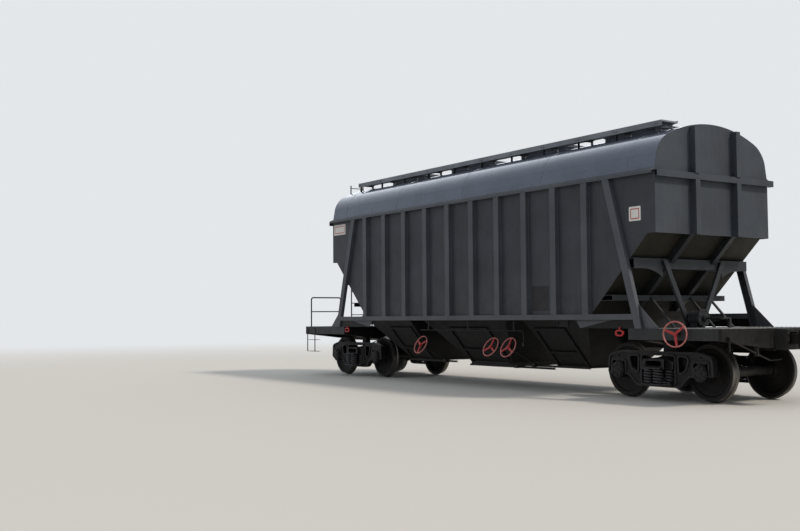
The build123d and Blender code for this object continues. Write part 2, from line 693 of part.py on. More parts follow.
def funnel_ribs(x0, x1):
    """Ribs on the near wall of a funnel: two down the wall at the outlet's ends, two level."""
    lean = (inner_wall_y - OUTLET_HALF_WIDTH) / hopper_drop
    depth = 38
    width = 60
    ribs = None
    level = [(z, z + 45) for z in (OUTLET_Z + 245, OUTLET_Z + 700)]
    for z0, z1 in level + [(OUTLET_Z, OUTLET_Z + 745)]:
        y0 = -(OUTLET_HALF_WIDTH + lean * (z0 - OUTLET_Z))
        y1 = -(OUTLET_HALF_WIDTH + lean * (z1 - OUTLET_Z))
        section = [(y0 + 4, z0), (y1 + 4, z1), (y1 - depth, z1), (y0 - depth, z0)]
        if z1 - z0 > 100:
            runs = ((x0, x0 + width), (x1 - width, x1))
        else:
            runs = ((x0 + 5, x1 - 5),)
        for a, b in runs:
            rib = cross_prism(section, a, b)
            ribs = rib if ribs is None else ribs + rib
    return ribs


def hopper(x0, x1, top_x0, top_x1, gate_z, guide_x0, guide_x1):
    """One hopper with its ribs, outlet frame and the guides of its sliding gate."""
    outlet = (x0, x1, OUTLET_HALF_WIDTH, OUTLET_Z)
    top = (top_x0, top_x1, inner_wall_y, SILL_BOTTOM_Z)
    body = funnel(outlet, top, 0)
    body += both_sides(funnel_ribs(x0, x1))
    strip = 60
    for y in (-inner_wall_y, inner_wall_y - HOPPER_WALL):
        body += block(top_x0 + 70, top_x1 - 90, y, y + HOPPER_WALL, SILL_BOTTOM_Z, SILL_BOTTOM_Z + strip)
    rim = 20
    frame_bottom = gate_z + GATE_THICKNESS + GATE_GAP
    body += block(x0 - rim, x1 + rim, -OUTLET_HALF_WIDTH - rim, OUTLET_HALF_WIDTH + rim, frame_bottom,
                  OUTLET_Z + rim)
    body -= funnel(outlet, top, HOPPER_WALL)
    body -= block(x0 + HOPPER_WALL, x1 - HOPPER_WALL, -OUTLET_HALF_WIDTH + HOPPER_WALL,
                  OUTLET_HALF_WIDTH - HOPPER_WALL, frame_bottom - 1, OUTLET_Z)
    body -= centre_clearance
    guide_y = -OUTLET_HALF_WIDTH - rim - GUIDE_WIDTH
    guide = block(guide_x0, guide_x1, guide_y, -OUTLET_HALF_WIDTH - rim, gate_z - GUIDE_THICKNESS - GATE_GAP,
                  gate_z + GATE_THICKNESS + GATE_GAP + GUIDE_THICKNESS)
    guide -= block(guide_x0 - 1, guide_x1 + 1, guide_y + GUIDE_THICKNESS, 0, gate_z - GATE_GAP,
                   gate_z + GATE_THICKNESS + GATE_GAP)
    return body + both_sides(guide)


def hoppers():
    """The middle hopper, and the two outer ones that are mirror images."""
    rim = 20
    middle_guide_x = outer_inner_x - 60
    outer_guide_x = outer_inner_x - OUTER_OUTLET_LENGTH - rim
    middle = MIDDLE_OUTLET_HALF_LENGTH
    save("middle_hopper", hopper(-middle, middle, -middle_top_x, middle_top_x, MIDDLE_GATE_Z,
                                 -middle - rim, middle_guide_x))
    front = hopper(outer_inner_x, outer_outer_x, outer_top_x, wall_foot_x, OUTER_GATE_Z, outer_guide_x,
                   outer_outer_x + rim)
    save("front_hopper", front)
    save("rear_hopper", flip_x(front))


def cross_ridges():
    """Upturned V sheets between the hoppers, in line with their leaning walls."""
    middle_lean = MIDDLE_WALL_RUN / hopper_drop
    inner_lean = INNER_WALL_RUN / hopper_drop
    rise = OUTLET_SPACING / (middle_lean + inner_lean)
    peak_x = MIDDLE_OUTLET_HALF_LENGTH + middle_lean * rise
    peak_z = OUTLET_Z + rise
    mitre = 40
    outer = side_prism([(middle_top_x - HOPPER_WALL, SILL_BOTTOM_Z), (peak_x, peak_z + mitre),
                        (outer_top_x + HOPPER_WALL, SILL_BOTTOM_Z)], -inner_wall_y, inner_wall_y)
    inner = side_prism([(middle_top_x, SILL_BOTTOM_Z), (peak_x - 2, peak_z), (outer_top_x, SILL_BOTTOM_Z)],
                       -inner_wall_y - 1, inner_wall_y + 1)
    save("cross_ridges", both_ends(outer - inner))


def outlet_gates():
    """Flat sliding gates under the outlets: name, ends along X, height."""
    lap = 15
    half = OUTLET_HALF_WIDTH + 20 + GUIDE_WIDTH - GUIDE_THICKNESS - GATE_GAP
    table = (("front_gate", outer_inner_x, outer_outer_x, OUTER_GATE_Z),
             ("rear_gate", -outer_outer_x, -outer_inner_x, OUTER_GATE_Z),
             ("middle_gate", -MIDDLE_OUTLET_HALF_LENGTH, MIDDLE_OUTLET_HALF_LENGTH, MIDDLE_GATE_Z))
    for name, x0, x1, z in table:
        save(name, block(x0 - lap, x1 + lap, -half, half, z, z + GATE_THICKNESS))


def handwheel():
    """A handwheel with a round rim, three tapering spokes and a hub, flat on its own XY plane."""
    wheel = Torus(HANDWHEEL_RADIUS, HANDWHEEL_BAR) + Cylinder(30, 52)
    root = 24
    tip = 17
    spoke = plan_prism([(0, -root, 0), (HANDWHEEL_RADIUS, -tip, 0), (HANDWHEEL_RADIUS, tip, 0), (0, root, 0)],
                       -8, 8)
    for turn in (90, 210, 330):
        wheel += Rot(0, 0, turn) * spoke
    return wheel


def gate_handwheels():
    """Handwheels on inclined shafts, each with its gear case on the guide."""
    case_depth = 90
    case_y = -OUTLET_HALF_WIDTH - 20 - GUIDE_WIDTH
    wheels = []
    for name, x, turn in GATE_WHEELS:
        level = MIDDLE_GATE_Z if name == "middle" else OUTER_GATE_Z
        foot = Vector(x, case_y - case_depth / 2, level + 40)
        head = Vector(x, -WALL_Y, GATE_WHEEL_Z)
        unit = block(x - 45, x + 45, case_y - case_depth, case_y, level - 15, level + 75)
        unit += rod(foot, head, 15)
        plane = Plane(origin=head, x_dir=(1, 0, 0), z_dir=head - foot)
        wheels.append(unit + plane * (Rot(0, 0, turn) * handwheel()))
    save("gate_handwheels", wheels)


def parking_brake_wheel():
    """The big upright handwheel beside the +X platform, turned a little to the end on its short shaft."""
    x = BEAM_END_X - PARKING_WHEEL_INSET
    z = PARKING_WHEEL_Z
    reach = 105
    side = Plane(origin=(x, -PLATFORM_Y, z), x_dir=(1, 0, 0), z_dir=(0, -1, 0))
    foot = side * Rot(0, PARKING_WHEEL_TURN, 0)
    wheel = foot * (Pos(0, 0, reach) * (Rot(0, 0, 189) * handwheel()))
    wheel += foot * (Pos(0, 0, reach / 2) * Cylinder(18, reach))
    wheel &= block(x - 400, x + 400, -PLATFORM_Y - 400, -PLATFORM_Y, z - 400, z + 400)
    wheel += block(x - 40, x + 40, -PLATFORM_Y - 14, -PLATFORM_Y, z - 45, z + 45)
    save("parking_brake_wheel", wheel)


def vessel(radius, half_length):
    """A welded air vessel along its own Y axis, with dished ends."""
    dish = radius * 0.28
    profile = [(0, -half_length - dish, 0), (radius * 0.75, -half_length - dish * 0.6, 40),
               (radius, -half_length, 20), (radius, half_length, 20),
               (radius * 0.75, half_length + dish * 0.6, 40), (0, half_length + dish, 0)]
    return revolve(outline(profile), axis=Axis.Y)


def air_reservoir():
    """The air reservoir under the front platform, strapped to the deck beside the centre sill."""
    radius = 130
    half_length = 420
    x = PIVOT_X + 800
    y = CENTRE_SILL_HALF_WIDTH + 45 + radius
    centre_z = deck_bottom_z - 15 - radius
    tank = Pos(x, y, centre_z) * (Rot(0, 0, 90) * vessel(radius, half_length))
    for strap_x in (x - 270, x + 270):
        tank += rod((strap_x - 20, y, centre_z), (strap_x + 20, y, centre_z), radius + 6)
        tank += block(strap_x - 20, strap_x + 20, y - 100, y + 100, centre_z + 90, deck_bottom_z)
    save("air_reservoir", tank)


def brake_cylinder():
    """The brake cylinder before the V struts: a short flanged drum along X, its piston rod and lever."""
    radius = 135
    x0 = belt_face_x(SLOPE_BELTS[0]) + STRUT_DEPTH + 30
    x1 = x0 + 240
    y = -130
    z = FLOOR_Z + 35 + radius
    drum = rod((x0, y, z), (x1, y, z), radius)
    drum += rod((x1 - 25, y, z), (x1 + 20, y, z), radius + 20)
    drum += rod((x1, y, z), (x1 + 75, y, z), 58)
    drum += rod((x1 + 50, y, z), (x1 + 450, y, z), 22)
    drum += block(x0 + 30, x1 - 60, y - 110, y + 110, FLOOR_Z, FLOOR_Z + 80)
    lever_x = x1 + 435
    drum += block(lever_x - 35, lever_x + 15, y - 30, y + 190, z - 12, z + 12)
    drum += block(lever_x - 35, lever_x + 15, y + 140, y + 190, FLOOR_Z, z + 12)
    save("brake_cylinder", drum)


def air_pipe():
    """The thin pipe along the right side, on hangers under the sill."""
    y = -WALL_Y
    z = SILL_BOTTOM_Z - 210
    radius = 13
    x0 = -1570
    x1 = 1980
    run = pipe([(x0, -CENTRE_SILL_HALF_WIDTH - 5, z), (x0, y, z), (x1, y, z), (x1, y, z - 240)], radius, 90)
    for x in (x0 + 350, (x0 + x1) / 2, x1 - 300):
        run += block(x - 20, x + 20, y - 5, y + 5, z, SILL_BOTTOM_Z)
    run += block(x0 - 25, x0 + 25, -CENTRE_SILL_HALF_WIDTH - 14, -CENTRE_SILL_HALF_WIDTH, z - 40, z + 40)
    run += block(x1 - 25, x1 + 25, y - 25, y + 25, z - 300, z - 225)
    save("air_pipe", run)


def release_handles():
    """Pull handles of the brake release, one under each deep plate of the right side."""
    x = PIVOT_X - 405
    z = FLOOR_Z - 80
    y = -PLATFORM_Y - 10
    grip = 26
    width = 190
    height = 110
    loop = SlotOverall(width, height) - SlotOverall(width - 2 * grip, height - 2 * grip)
    handle = extrude(Plane(origin=(x, y, z), x_dir=(1, 0, 0), z_dir=(0, -1, 0)) * loop, amount=grip)
    handle += block(x - 15, x + 15, y - grip / 2, y, z + 40, FLOOR_Z + 10)
    handle += block(x - 15, x + 15, y - grip / 2, -PLATFORM_Y, FLOOR_Z, FLOOR_Z + 20)
    save("release_handles", both_ends(handle))


def coupler():
    """An automatic coupler: a shank, and a head whose two teeth stand clear of its mouth."""
    head_x = COUPLING_X - 280
    mouth_x = COUPLING_X - 100
    nose_x = COUPLING_X + 60
    shank = block(BEAM_END_X - 260, head_x + 40, -SHANK_HALF, SHANK_HALF, COUPLER_Z - SHANK_HALF_HEIGHT,
                  COUPLER_Z + SHANK_HALF_HEIGHT)
    neck = plan_prism([(head_x, -SHANK_HALF, 0), (head_x, SHANK_HALF, 0), (mouth_x, 150, 20),
                       (mouth_x, -170, 20)], COUPLER_Z - 120, COUPLER_Z + 120)
    head = plan_prism([(mouth_x - 120, -150, 30), (mouth_x - 120, 140, 30), (nose_x - 110, 215, 40),
                       (nose_x, 215, 30), (nose_x, 125, 25), (mouth_x, 70, 15), (mouth_x, -60, 15),
                       (COUPLING_X - 20, -100, 10), (nose_x, -160, 20), (nose_x - 35, -225, 30),
                       (mouth_x - 20, -205, 40)], COUPLER_Z - 150, COUPLER_Z + 150)
    stop = block(head_x + 30, head_x + 110, -55, 55, COUPLER_Z + SHANK_HALF_HEIGHT - 5, COUPLER_Z + 150)
    lock = block(mouth_x - 30, mouth_x + 45, -45, 20, COUPLER_Z - 105, COUPLER_Z + 105)
    return shank + neck + head + stop + lock


def couplers():
    """The two couplers, each turned to face its own end."""
    front = coupler()
    save("couplers", [front, Rot(0, 0, 180) * front])


def uncoupling_levers():
    """The bar that lifts the coupler's lock, from a bracket at the beam's corner to the middle."""
    x = BEAM_END_X + 34
    corner = (x, -PLATFORM_Y + 130, COUPLER_Z + 5)
    inner = (x, -LEVER_INNER_Y, COUPLER_Z - 345)
    lever = rod(corner, inner, 14)
    lever += rod(corner, (x, -PLATFORM_Y + 130, COUPLER_Z - 190), 14)
    lever += block(BEAM_END_X, x + 24, -PLATFORM_Y + 112, -PLATFORM_Y + 148, COUPLER_Z - 5, COUPLER_Z + 45)
    lever += block(BEAM_END_X - 10, x + 22, -760, -730, COUPLER_Z - 270, COUPLER_Z - 135)
    lever += rod(inner, (x + 150, -LEVER_INNER_Y + 100, COUPLER_Z - 320), 12)
    save("uncoupling_levers", [lever, Rot(0, 0, 180) * lever])


def platform_railing():
    """Grab rails at the outer edge of the rear platform."""
    x = -BEAM_END_X + 30
    top_z = FLOOR_Z + 763
    outer_y = -PLATFORM_Y + 150
    inner_y = outer_y + 900
    bar = 17
    rail = pipe([(x, outer_y, FLOOR_Z), (x, outer_y, top_z), (x, inner_y, top_z), (x, inner_y, FLOOR_Z)],
                bar, 60)
    rail += rod((x, outer_y, FLOOR_Z + 390), (x, inner_y, FLOOR_Z + 390), bar - 3)
    save("platform_railing", both_sides(rail))


def platform_steps():
    """Two-tread steps on both sides of the rear platform."""
    x = -BEAM_END_X + 300
    half = 210
    stringer = 30
    y0 = -PLATFORM_Y - 12
    ladder = None
    for side_x in (x - half, x + half - stringer):
        bar = block(side_x, side_x + stringer, y0, -PLATFORM_Y, 600, FLOOR_Z - 50)
        ladder = bar if ladder is None else ladder + bar
    for z in (600, 900):
        ladder += block(x - half, x + half, y0, y0 + 162, z, z + 10)
    save("platform_steps", both_sides(ladder))


def rear_ladder():
    """The ladder from the rear platform up the end wall to the right-hand roof walkway."""
    x = -END_X - 200
    flat = 10
    depth = 45
    half = (WALKWAY_OUTER_Y - WALKWAY_INNER_Y) / 2 - 20
    y = -(WALKWAY_OUTER_Y + WALKWAY_INNER_Y) / 2
    top_z = WALKWAY_Z
    ladder = None
    for side_y in (y - half, y + half - flat):
        bar = block(x - depth, x, side_y, side_y + flat, FLOOR_Z, top_z)
        ladder = bar if ladder is None else ladder + bar
        for stay_z in (END_BOTTOM_Z + 130, EAVE_Z + 350):
            ladder += block(x - flat, -END_X, side_y, side_y + flat, stay_z, stay_z + 40)
    rung_pitch = 300
    rung_count = int((top_z - FLOOR_Z) / rung_pitch)
    for number in range(1, rung_count + 1):
        z = FLOOR_Z + number * rung_pitch
        ladder += rod((x - depth / 2, y - half, z), (x - depth / 2, y + half, z), 10)
    save("rear_ladder", ladder)


# Bogie frame places, measured from the bogie's middle
half_wheelbase = WHEELBASE / 2
jaw_half = BOX_RADIUS + JAW_CLEARANCE
jaw_top_z = AXLE_Z + 165
spring_window_half = 365


def frame_outline():
    """The cast side frame's outline with its two pedestal jaws, as (x, z, radius)."""
    jaw_in = half_wheelbase - jaw_half
    jaw_out = half_wheelbase + jaw_half
    leg_z = AXLE_Z - 56
    half = [(880, FRAME_TOP_Z, 300), (FRAME_HALF_LENGTH - 20, FRAME_TOP_Z - 75, 90),
            (FRAME_HALF_LENGTH, leg_z, 25), (jaw_out, leg_z, 12), (jaw_out, jaw_top_z, 30),
            (jaw_in, jaw_top_z, 30), (jaw_in, leg_z - 20, 12), (jaw_in - 90, leg_z - 25, 40),
            (500, FRAME_BOTTOM_Z + 20, 90), (400, FRAME_BOTTOM_Z, 60)]
    return half + [(-x, z, radius) for x, z, radius in reversed(half)]


def frame_windows():
    """The frame's openings: one for the springs, and a tapering one on each side of it."""
    top = FRAME_TOP_Z - 72
    spring = [(-spring_window_half, SEAT_Z, 30), (spring_window_half, SEAT_Z, 30),
              (spring_window_half, top, 45), (-spring_window_half, top, 45)]
    taper = [(448, top - 10, 45), (665, top - 25, 45), (600, AXLE_Z + 45, 60), (468, AXLE_Z - 25, 30)]
    return [spring, taper, [(-x, z, radius) for x, z, radius in reversed(taper)]]


def side_frame():
    """One cast side frame: flanged edges round a thinner web, spring seat and axle boxes."""
    plane = Plane(origin=(0, -JOURNAL_Y, 0), x_dir=(1, 0, 0), z_dir=(0, -1, 0))
    flange = 30
    web_half = FRAME_HALF_WIDTH - 22
    edge = outline(frame_outline())
    windows = [outline(points) for points in frame_windows()]
    face = edge
    for window in windows:
        face -= window
    pocket = offset(edge, amount=-flange)
    for window in windows:
        pocket -= offset(window, amount=flange)
    frame = extrude(plane * face, amount=FRAME_HALF_WIDTH, both=True)
    sides = extrude(plane * pocket, amount=FRAME_HALF_WIDTH + 1, both=True)
    sides -= extrude(plane * pocket, amount=web_half, both=True)
    frame -= sides
    seat = [(330, -110, 30), (215, -SEAT_REACH, 30), (-215, -SEAT_REACH, 30), (-330, -110, 30),
            (-330, 110, 30), (-215, SEAT_REACH, 30), (215, SEAT_REACH, 30), (330, 110, 30)]
    frame += Pos(0, -JOURNAL_Y, 0) * plan_prism(seat, SEAT_Z - 32, SEAT_Z)
    bore_radius = JOURNAL_RADIUS + JOURNAL_CLEARANCE
    for x in (-half_wheelbase, half_wheelbase):
        outer_y = -JOURNAL_Y - BOX_REACH
        frame += axle_box(x, outer_y)
        frame -= rod((x, -JOURNAL_Y + 80, AXLE_Z), (x, outer_y + 14, AXLE_Z), bore_radius)
        frame -= rod((x, -JOURNAL_Y - FRAME_HALF_WIDTH, FRAME_HOLE_Z),
                     (x, -JOURNAL_Y + FRAME_HALF_WIDTH, FRAME_HOLE_Z), FRAME_HOLE_RADIUS)
    return frame


def axle_box(x, outer_y):
    """An axle box hung in the jaw: a round housing under a narrow saddle, with a turned cover."""
    inner_y = -JOURNAL_Y + 75
    saddle = FRAME_HALF_WIDTH - 25
    box = rod((x, inner_y, AXLE_Z), (x, outer_y + 22, AXLE_Z), BOX_RADIUS)
    box += block(x - 85, x + 85, -JOURNAL_Y - saddle, -JOURNAL_Y + saddle, AXLE_Z + BOX_RADIUS - 50,
                 jaw_top_z + 2)
    box += rod((x, outer_y + 22, AXLE_Z), (x, outer_y, AXLE_Z), BOX_RADIUS - 24)
    box += rod((x, outer_y, AXLE_Z), (x, outer_y - 12, AXLE_Z), 48)
    return box


def bogie_bolster():
    """The bolster: a fish-bellied beam, hollow at its ends, with bowl, side bearers and wedges."""
    end_y = JOURNAL_Y + BOLSTER_OVERHANG
    end_top = BOLSTER_END_Z + BOLSTER_END_HEIGHT
    belly_y = JOURNAL_Y - SEAT_REACH
    half = [(520, 470), (belly_y, BOLSTER_END_Z), (end_y, BOLSTER_END_Z), (end_y, end_top),
            (820, end_top + 15), (500, BOLSTER_TOP_Z)]
    beam = cross_prism(half + [(-y, z) for y, z in reversed(half)], -BOLSTER_HALF_WIDTH, BOLSTER_HALF_WIDTH)
    slot = Plane(origin=(0, -end_y - 1, BOLSTER_END_Z + BOLSTER_END_HEIGHT / 2 + 4), x_dir=(1, 0, 0),
                 z_dir=(0, 1, 0)) * SlotOverall(370, 100)
    beam -= both_sides(extrude(slot, amount=330))
    root_x = BOLSTER_HALF_WIDTH - 5
    wedge_x = spring_window_half - 6
    wedge_half = FRAME_HALF_WIDTH + 25
    wedge = side_prism([(root_x, end_top - 5), (wedge_x, end_top - 45), (wedge_x, BOLSTER_END_Z),
                        (root_x, BOLSTER_END_Z)], -JOURNAL_Y - wedge_half, -JOURNAL_Y + wedge_half)
    beam += four_corners(wedge)
    shelf = block(-215, 215, -JOURNAL_Y - SEAT_REACH, -JOURNAL_Y + SEAT_REACH, BOLSTER_END_Z,
                  BOLSTER_END_Z + 22)
    beam += both_sides(shelf)
    bowl_rim = BOWL_FLOOR_Z + 10
    bowl_root = BOLSTER_TOP_Z - 20
    beam += Pos(0, 0, (bowl_root + bowl_rim) / 2) * Cylinder(BOWL_RADIUS, bowl_rim - bowl_root)
    beam -= Pos(0, 0, BOWL_FLOOR_Z + 20) * Cylinder(PIVOT_RADIUS + PIVOT_PLAY, 40)
    bearer_top = BOWL_FLOOR_Z + PIVOT_GAP
    for y in (-SIDE_BEARER_Y, SIDE_BEARER_Y):
        beam += block(-90, 90, y - 60, y + 60, end_top - 20, bearer_top)
    return beam


def springs():
    """Coil springs between seat and bolster: rows of 2, 3 and 2, the outer rows set in the gaps."""
    half = SPRING_PITCH / 2
    places = [(-half, -SPRING_ROW), (half, -SPRING_ROW), (-SPRING_PITCH, 0), (0, 0), (SPRING_PITCH, 0),
              (-half, SPRING_ROW), (half, SPRING_ROW)]
    coils = []
    for x, y in places:
        for side in (-1, 1):
            centre_y = side * JOURNAL_Y + y
            coils.append(rod((x, centre_y, SEAT_Z), (x, centre_y, BOLSTER_END_Z), SPRING_RADIUS))
    return coils


def brake_beam():
    """A trussed brake beam between the wheels at +X, with two shoes and their hangers."""
    inner = TREAD_RADIUS + SHOE_GAP
    outer = inner + SHOE_THICKNESS
    shoe_y0 = BACK_TO_BACK / 2 + 40
    shoe_y1 = BACK_TO_BACK / 2 + RIM_WIDTH - 10
    ring = rod((half_wheelbase, shoe_y0, AXLE_Z), (half_wheelbase, shoe_y1, AXLE_Z), outer)
    ring -= rod((half_wheelbase, shoe_y0 - 1, AXLE_Z), (half_wheelbase, shoe_y1 + 1, AXLE_Z), inner)
    shoe = ring & block(0, half_wheelbase, shoe_y0, shoe_y1, AXLE_Z - 190, AXLE_Z + 90)
    beam_x = half_wheelbase - outer - 18
    beam_z = AXLE_Z - 60
    post_x = beam_x - 105
    bracket = block(beam_x - 20, half_wheelbase - outer + 6, shoe_y0, shoe_y1, beam_z - 30, beam_z + 70)
    lug_x = spring_window_half + 42
    lug_y = JOURNAL_Y - FRAME_HALF_WIDTH
    lug_z = FRAME_TOP_Z - 150
    hanger = rod((beam_x, shoe_y1 - 20, beam_z + 40), (lug_x, lug_y - 22, lug_z), 14)
    lug = block(lug_x - 36, lug_x + 36, lug_y - 34, lug_y, lug_z - 28, lug_z + 28)
    side = shoe + bracket + hanger + lug
    beam = rod((beam_x, -shoe_y1, beam_z), (beam_x, shoe_y1, beam_z), 24)
    truss = rod((beam_x, shoe_y0 + 20, beam_z), (post_x, 0, beam_z), 17)
    beam += both_sides(side + truss)
    beam += block(post_x - 20, beam_x, -22, 22, beam_z - 25, beam_z + 25)
    return beam


def wheelset():
    """A turned axle with two disc wheels, on its own Y axis."""
    wheel_in = BACK_TO_BACK / 2
    wheel_out = wheel_in + RIM_WIDTH
    journal_in = JOURNAL_Y - JOURNAL_HALF
    journal_end = JOURNAL_Y + JOURNAL_HALF
    seat = [(JOURNAL_RADIUS, -journal_end, 8), (JOURNAL_RADIUS, -journal_in, 20),
            (WHEEL_SEAT_RADIUS, -wheel_out - 30, 6), (WHEEL_SEAT_RADIUS, -wheel_in + 50, 6),
            (AXLE_RADIUS, -wheel_in + 90, 20)]
    far_seat = [(r, -y, radius) for r, y, radius in reversed(seat)]
    axle = [(0, -journal_end, 0)] + seat + far_seat + [(0, journal_end, 0)]
    rim_in = TREAD_RADIUS - RIM_THICKNESS
    flange = TREAD_RADIUS + FLANGE_HEIGHT
    bore = WHEEL_SEAT_RADIUS - 1
    web_y = wheel_in + 85
    half_web = WEB_THICKNESS / 2
    wheel = [(bore, wheel_in - 25, 0), (HUB_RADIUS, wheel_in - 25, 6), (HUB_RADIUS + 25, wheel_in + 20, 25),
             (rim_in - 30, web_y - half_web, 25), (rim_in, wheel_in, 8), (flange - 6, wheel_in, 8),
             (flange, wheel_in + 16, 9), (TREAD_RADIUS + 3, wheel_in + FLANGE_WIDTH, 12),
             (TREAD_RADIUS - 6, wheel_out, 5), (rim_in, wheel_out, 8), (rim_in - 30, web_y + half_web, 25),
             (HUB_RADIUS + 20, wheel_in + 60, 25), (HUB_RADIUS, wheel_in + HUB_WIDTH - 25, 6),
             (bore, wheel_in + HUB_WIDTH - 25, 0)]
    disc = revolve(outline(wheel), axis=Axis.Y)
    return revolve(outline(axle), axis=Axis.Y) + both_sides(disc)


def bogies():
    """Two bogies that are alike; their wheelsets are named outer and inner by the wagon's ends."""
    frame = side_frame()
    bolster = bogie_bolster()
    coils = springs()
    beam = brake_beam()
    axle = wheelset()
    for end, sign in (("front", 1), ("rear", -1)):
        place = Pos(sign * PIVOT_X, 0, 0)
        save(f"{end}_bogie_side_frames", [place * s for s in both_sides(frame)])
        save(f"{end}_bogie_bolster", place * bolster)
        save(f"{end}_bogie_springs", [place * coil for coil in coils])
        save(f"{end}_bogie_brake_beams", [place * b for b in both_ends(beam)])
        for name, offset_x in (("outer", half_wheelbase), ("inner", -half_wheelbase)):
            save(f"{end}_{name}_wheelset", Pos(sign * (PIVOT_X + offset_x), 0, AXLE_Z) * axle)


# Body shell
side_walls()
side_posts()
top_chords()
side_sills()
end_walls()
end_frames()
slope_sheets()
slope_frames()
slope_struts()
roof()
for number, x in enumerate(hatch_centres, start=1):
    save(f"hatch_lid_{number}", hatch_lid(x))
roof_walkways()

# Hoppers and their gates
hoppers()
cross_ridges()
outlet_gates()
gate_handwheels()

# Underframe and what stands on it
centre_sill()
body_bolsters()
end_beams()
platform_beams()
platform_decks()
couplers()
uncoupling_levers()
air_reservoir()
brake_cylinder()
air_pipe()
release_handles()
parking_brake_wheel()
platform_railing()
platform_steps()
rear_ladder()

# Running gear
bogies()
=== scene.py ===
# %% [markdown]
# # A covered hopper wagon for grain
# The wagon's shape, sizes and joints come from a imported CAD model. This lesson gives it its looks:
# paint, dust, rust and worn steel, and the small things that a maker bolts and welds on afterwards.
# All lengths are metres, in the CAD model's own frame: X along the track, Y across it, Z up.

# %% Load the frame
from math import cos, pi, radians, sin

import bmesh
import bpy
from mathutils import Matrix, Vector
from mathutils.bvhtree import BVHTree


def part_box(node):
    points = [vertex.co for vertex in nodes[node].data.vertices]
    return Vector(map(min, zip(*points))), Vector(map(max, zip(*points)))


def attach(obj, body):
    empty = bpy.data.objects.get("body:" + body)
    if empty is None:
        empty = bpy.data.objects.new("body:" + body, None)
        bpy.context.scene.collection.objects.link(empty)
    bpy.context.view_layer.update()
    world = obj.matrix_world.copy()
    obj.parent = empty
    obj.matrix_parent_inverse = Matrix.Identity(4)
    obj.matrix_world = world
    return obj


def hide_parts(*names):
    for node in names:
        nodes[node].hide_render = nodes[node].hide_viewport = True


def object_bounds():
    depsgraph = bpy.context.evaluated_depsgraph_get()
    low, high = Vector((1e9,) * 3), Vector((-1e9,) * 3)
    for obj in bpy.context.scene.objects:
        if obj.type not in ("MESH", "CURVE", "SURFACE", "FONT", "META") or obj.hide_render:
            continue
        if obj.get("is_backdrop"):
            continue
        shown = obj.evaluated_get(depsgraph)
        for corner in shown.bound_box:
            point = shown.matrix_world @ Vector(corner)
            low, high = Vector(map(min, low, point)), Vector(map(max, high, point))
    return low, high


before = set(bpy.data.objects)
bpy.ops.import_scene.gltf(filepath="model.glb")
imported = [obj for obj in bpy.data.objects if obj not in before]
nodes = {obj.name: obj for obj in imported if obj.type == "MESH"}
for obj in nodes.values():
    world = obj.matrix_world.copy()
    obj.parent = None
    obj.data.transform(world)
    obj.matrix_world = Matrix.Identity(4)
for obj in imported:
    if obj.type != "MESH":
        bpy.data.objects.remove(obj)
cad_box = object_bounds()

MM = 0.001

# %% [markdown]
# ## Camera
# The photograph was taken from the trackside, a little above the height of the wagon's floor, so the
# lines of the body run down to the left. The camera is given by its place and three turns. A focal
# length of 46.4 mm on the usual 36 mm sensor has the same angle of view as the photograph.

# %% Camera
CAMERA_PLACE = Vector((17.374, -14.711, 1.463))
CAMERA_YAW = radians(56.17)
CAMERA_PITCH = radians(2.90)
CAMERA_ROLL = radians(-0.40)
FOCAL_LENGTH_MM = 46.4
CAMERA_REACH = 500.0

ahead = Vector((-sin(CAMERA_YAW) * cos(CAMERA_PITCH), cos(CAMERA_YAW) * cos(CAMERA_PITCH), sin(CAMERA_PITCH)))
level_right = Vector((cos(CAMERA_YAW), sin(CAMERA_YAW), 0))
level_up = level_right.cross(ahead)
right = cos(CAMERA_ROLL) * level_right + sin(CAMERA_ROLL) * level_up
up = cos(CAMERA_ROLL) * level_up - sin(CAMERA_ROLL) * level_right

camera = bpy.data.objects.new("camera", bpy.data.cameras.new("camera"))
camera.data.lens = FOCAL_LENGTH_MM
camera.data.clip_end = CAMERA_REACH
camera.matrix_world = Matrix.Translation(CAMERA_PLACE) @ Matrix((right, up, -ahead)).transposed().to_4x4()
bpy.context.scene.collection.objects.link(camera)
bpy.context.scene.camera = camera
bpy.context.scene.view_settings.view_transform = "Standard"
print("camera", tuple(round(v, 2) for v in camera.location))

# %% [markdown]
# ## Helpers for materials
# A paint chart gives colours as sRGB hex values, while a shader works with linear light, so one
# function turns the first into the second. Another adds one node to a tree, with its settings and its
# inputs. An input is either a number or another node's output, which is then linked. Small ones after
# them do sums with numbers and vectors, turn one range into another, mix two colours and press a
# pattern into a face.

# %% Colour and node helpers
def colour(hex_value):
    """A linear RGBA colour from an sRGB hex value such as "3c3f44"."""
    channels = [int(hex_value[i:i + 2], 16) / 255 for i in (0, 2, 4)]
    linear = [c / 12.92 if c <= 0.04045 else ((c + 0.055) / 1.055) ** 2.4 for c in channels]
    return (*linear, 1)


def add(tree, kind, inputs=None, **settings):
    """Adds one node to a tree. Inputs are given by socket name or number."""
    node = tree.nodes.new(kind)
    for name, value in settings.items():
        setattr(node, name, value)
    for socket, value in (inputs or {}).items():
        if isinstance(value, bpy.types.NodeSocket):
            tree.links.new(value, node.inputs[socket])
        else:
            node.inputs[socket].default_value = value
    return node


def new_material(name):
    """An empty material with its Principled shader: (material, tree, shader)."""
    material = bpy.data.materials.new(name)
    material.use_nodes = True
    shader = material.node_tree.nodes["Principled BSDF"]
    return material, material.node_tree, shader


def object_place(tree):
    """The place of a point in the wagon's own frame."""
    return add(tree, "ShaderNodeTexCoord").outputs["Object"]


def separate(tree, vector):
    """The X, Y and Z of a vector."""
    return add(tree, "ShaderNodeSeparateXYZ", {0: vector}).outputs


def number_math(tree, operation, first, second):
    """A sum with two numbers, such as MULTIPLY or MAXIMUM."""
    return add(tree, "ShaderNodeMath", {0: first, 1: second}, operation=operation).outputs[0]


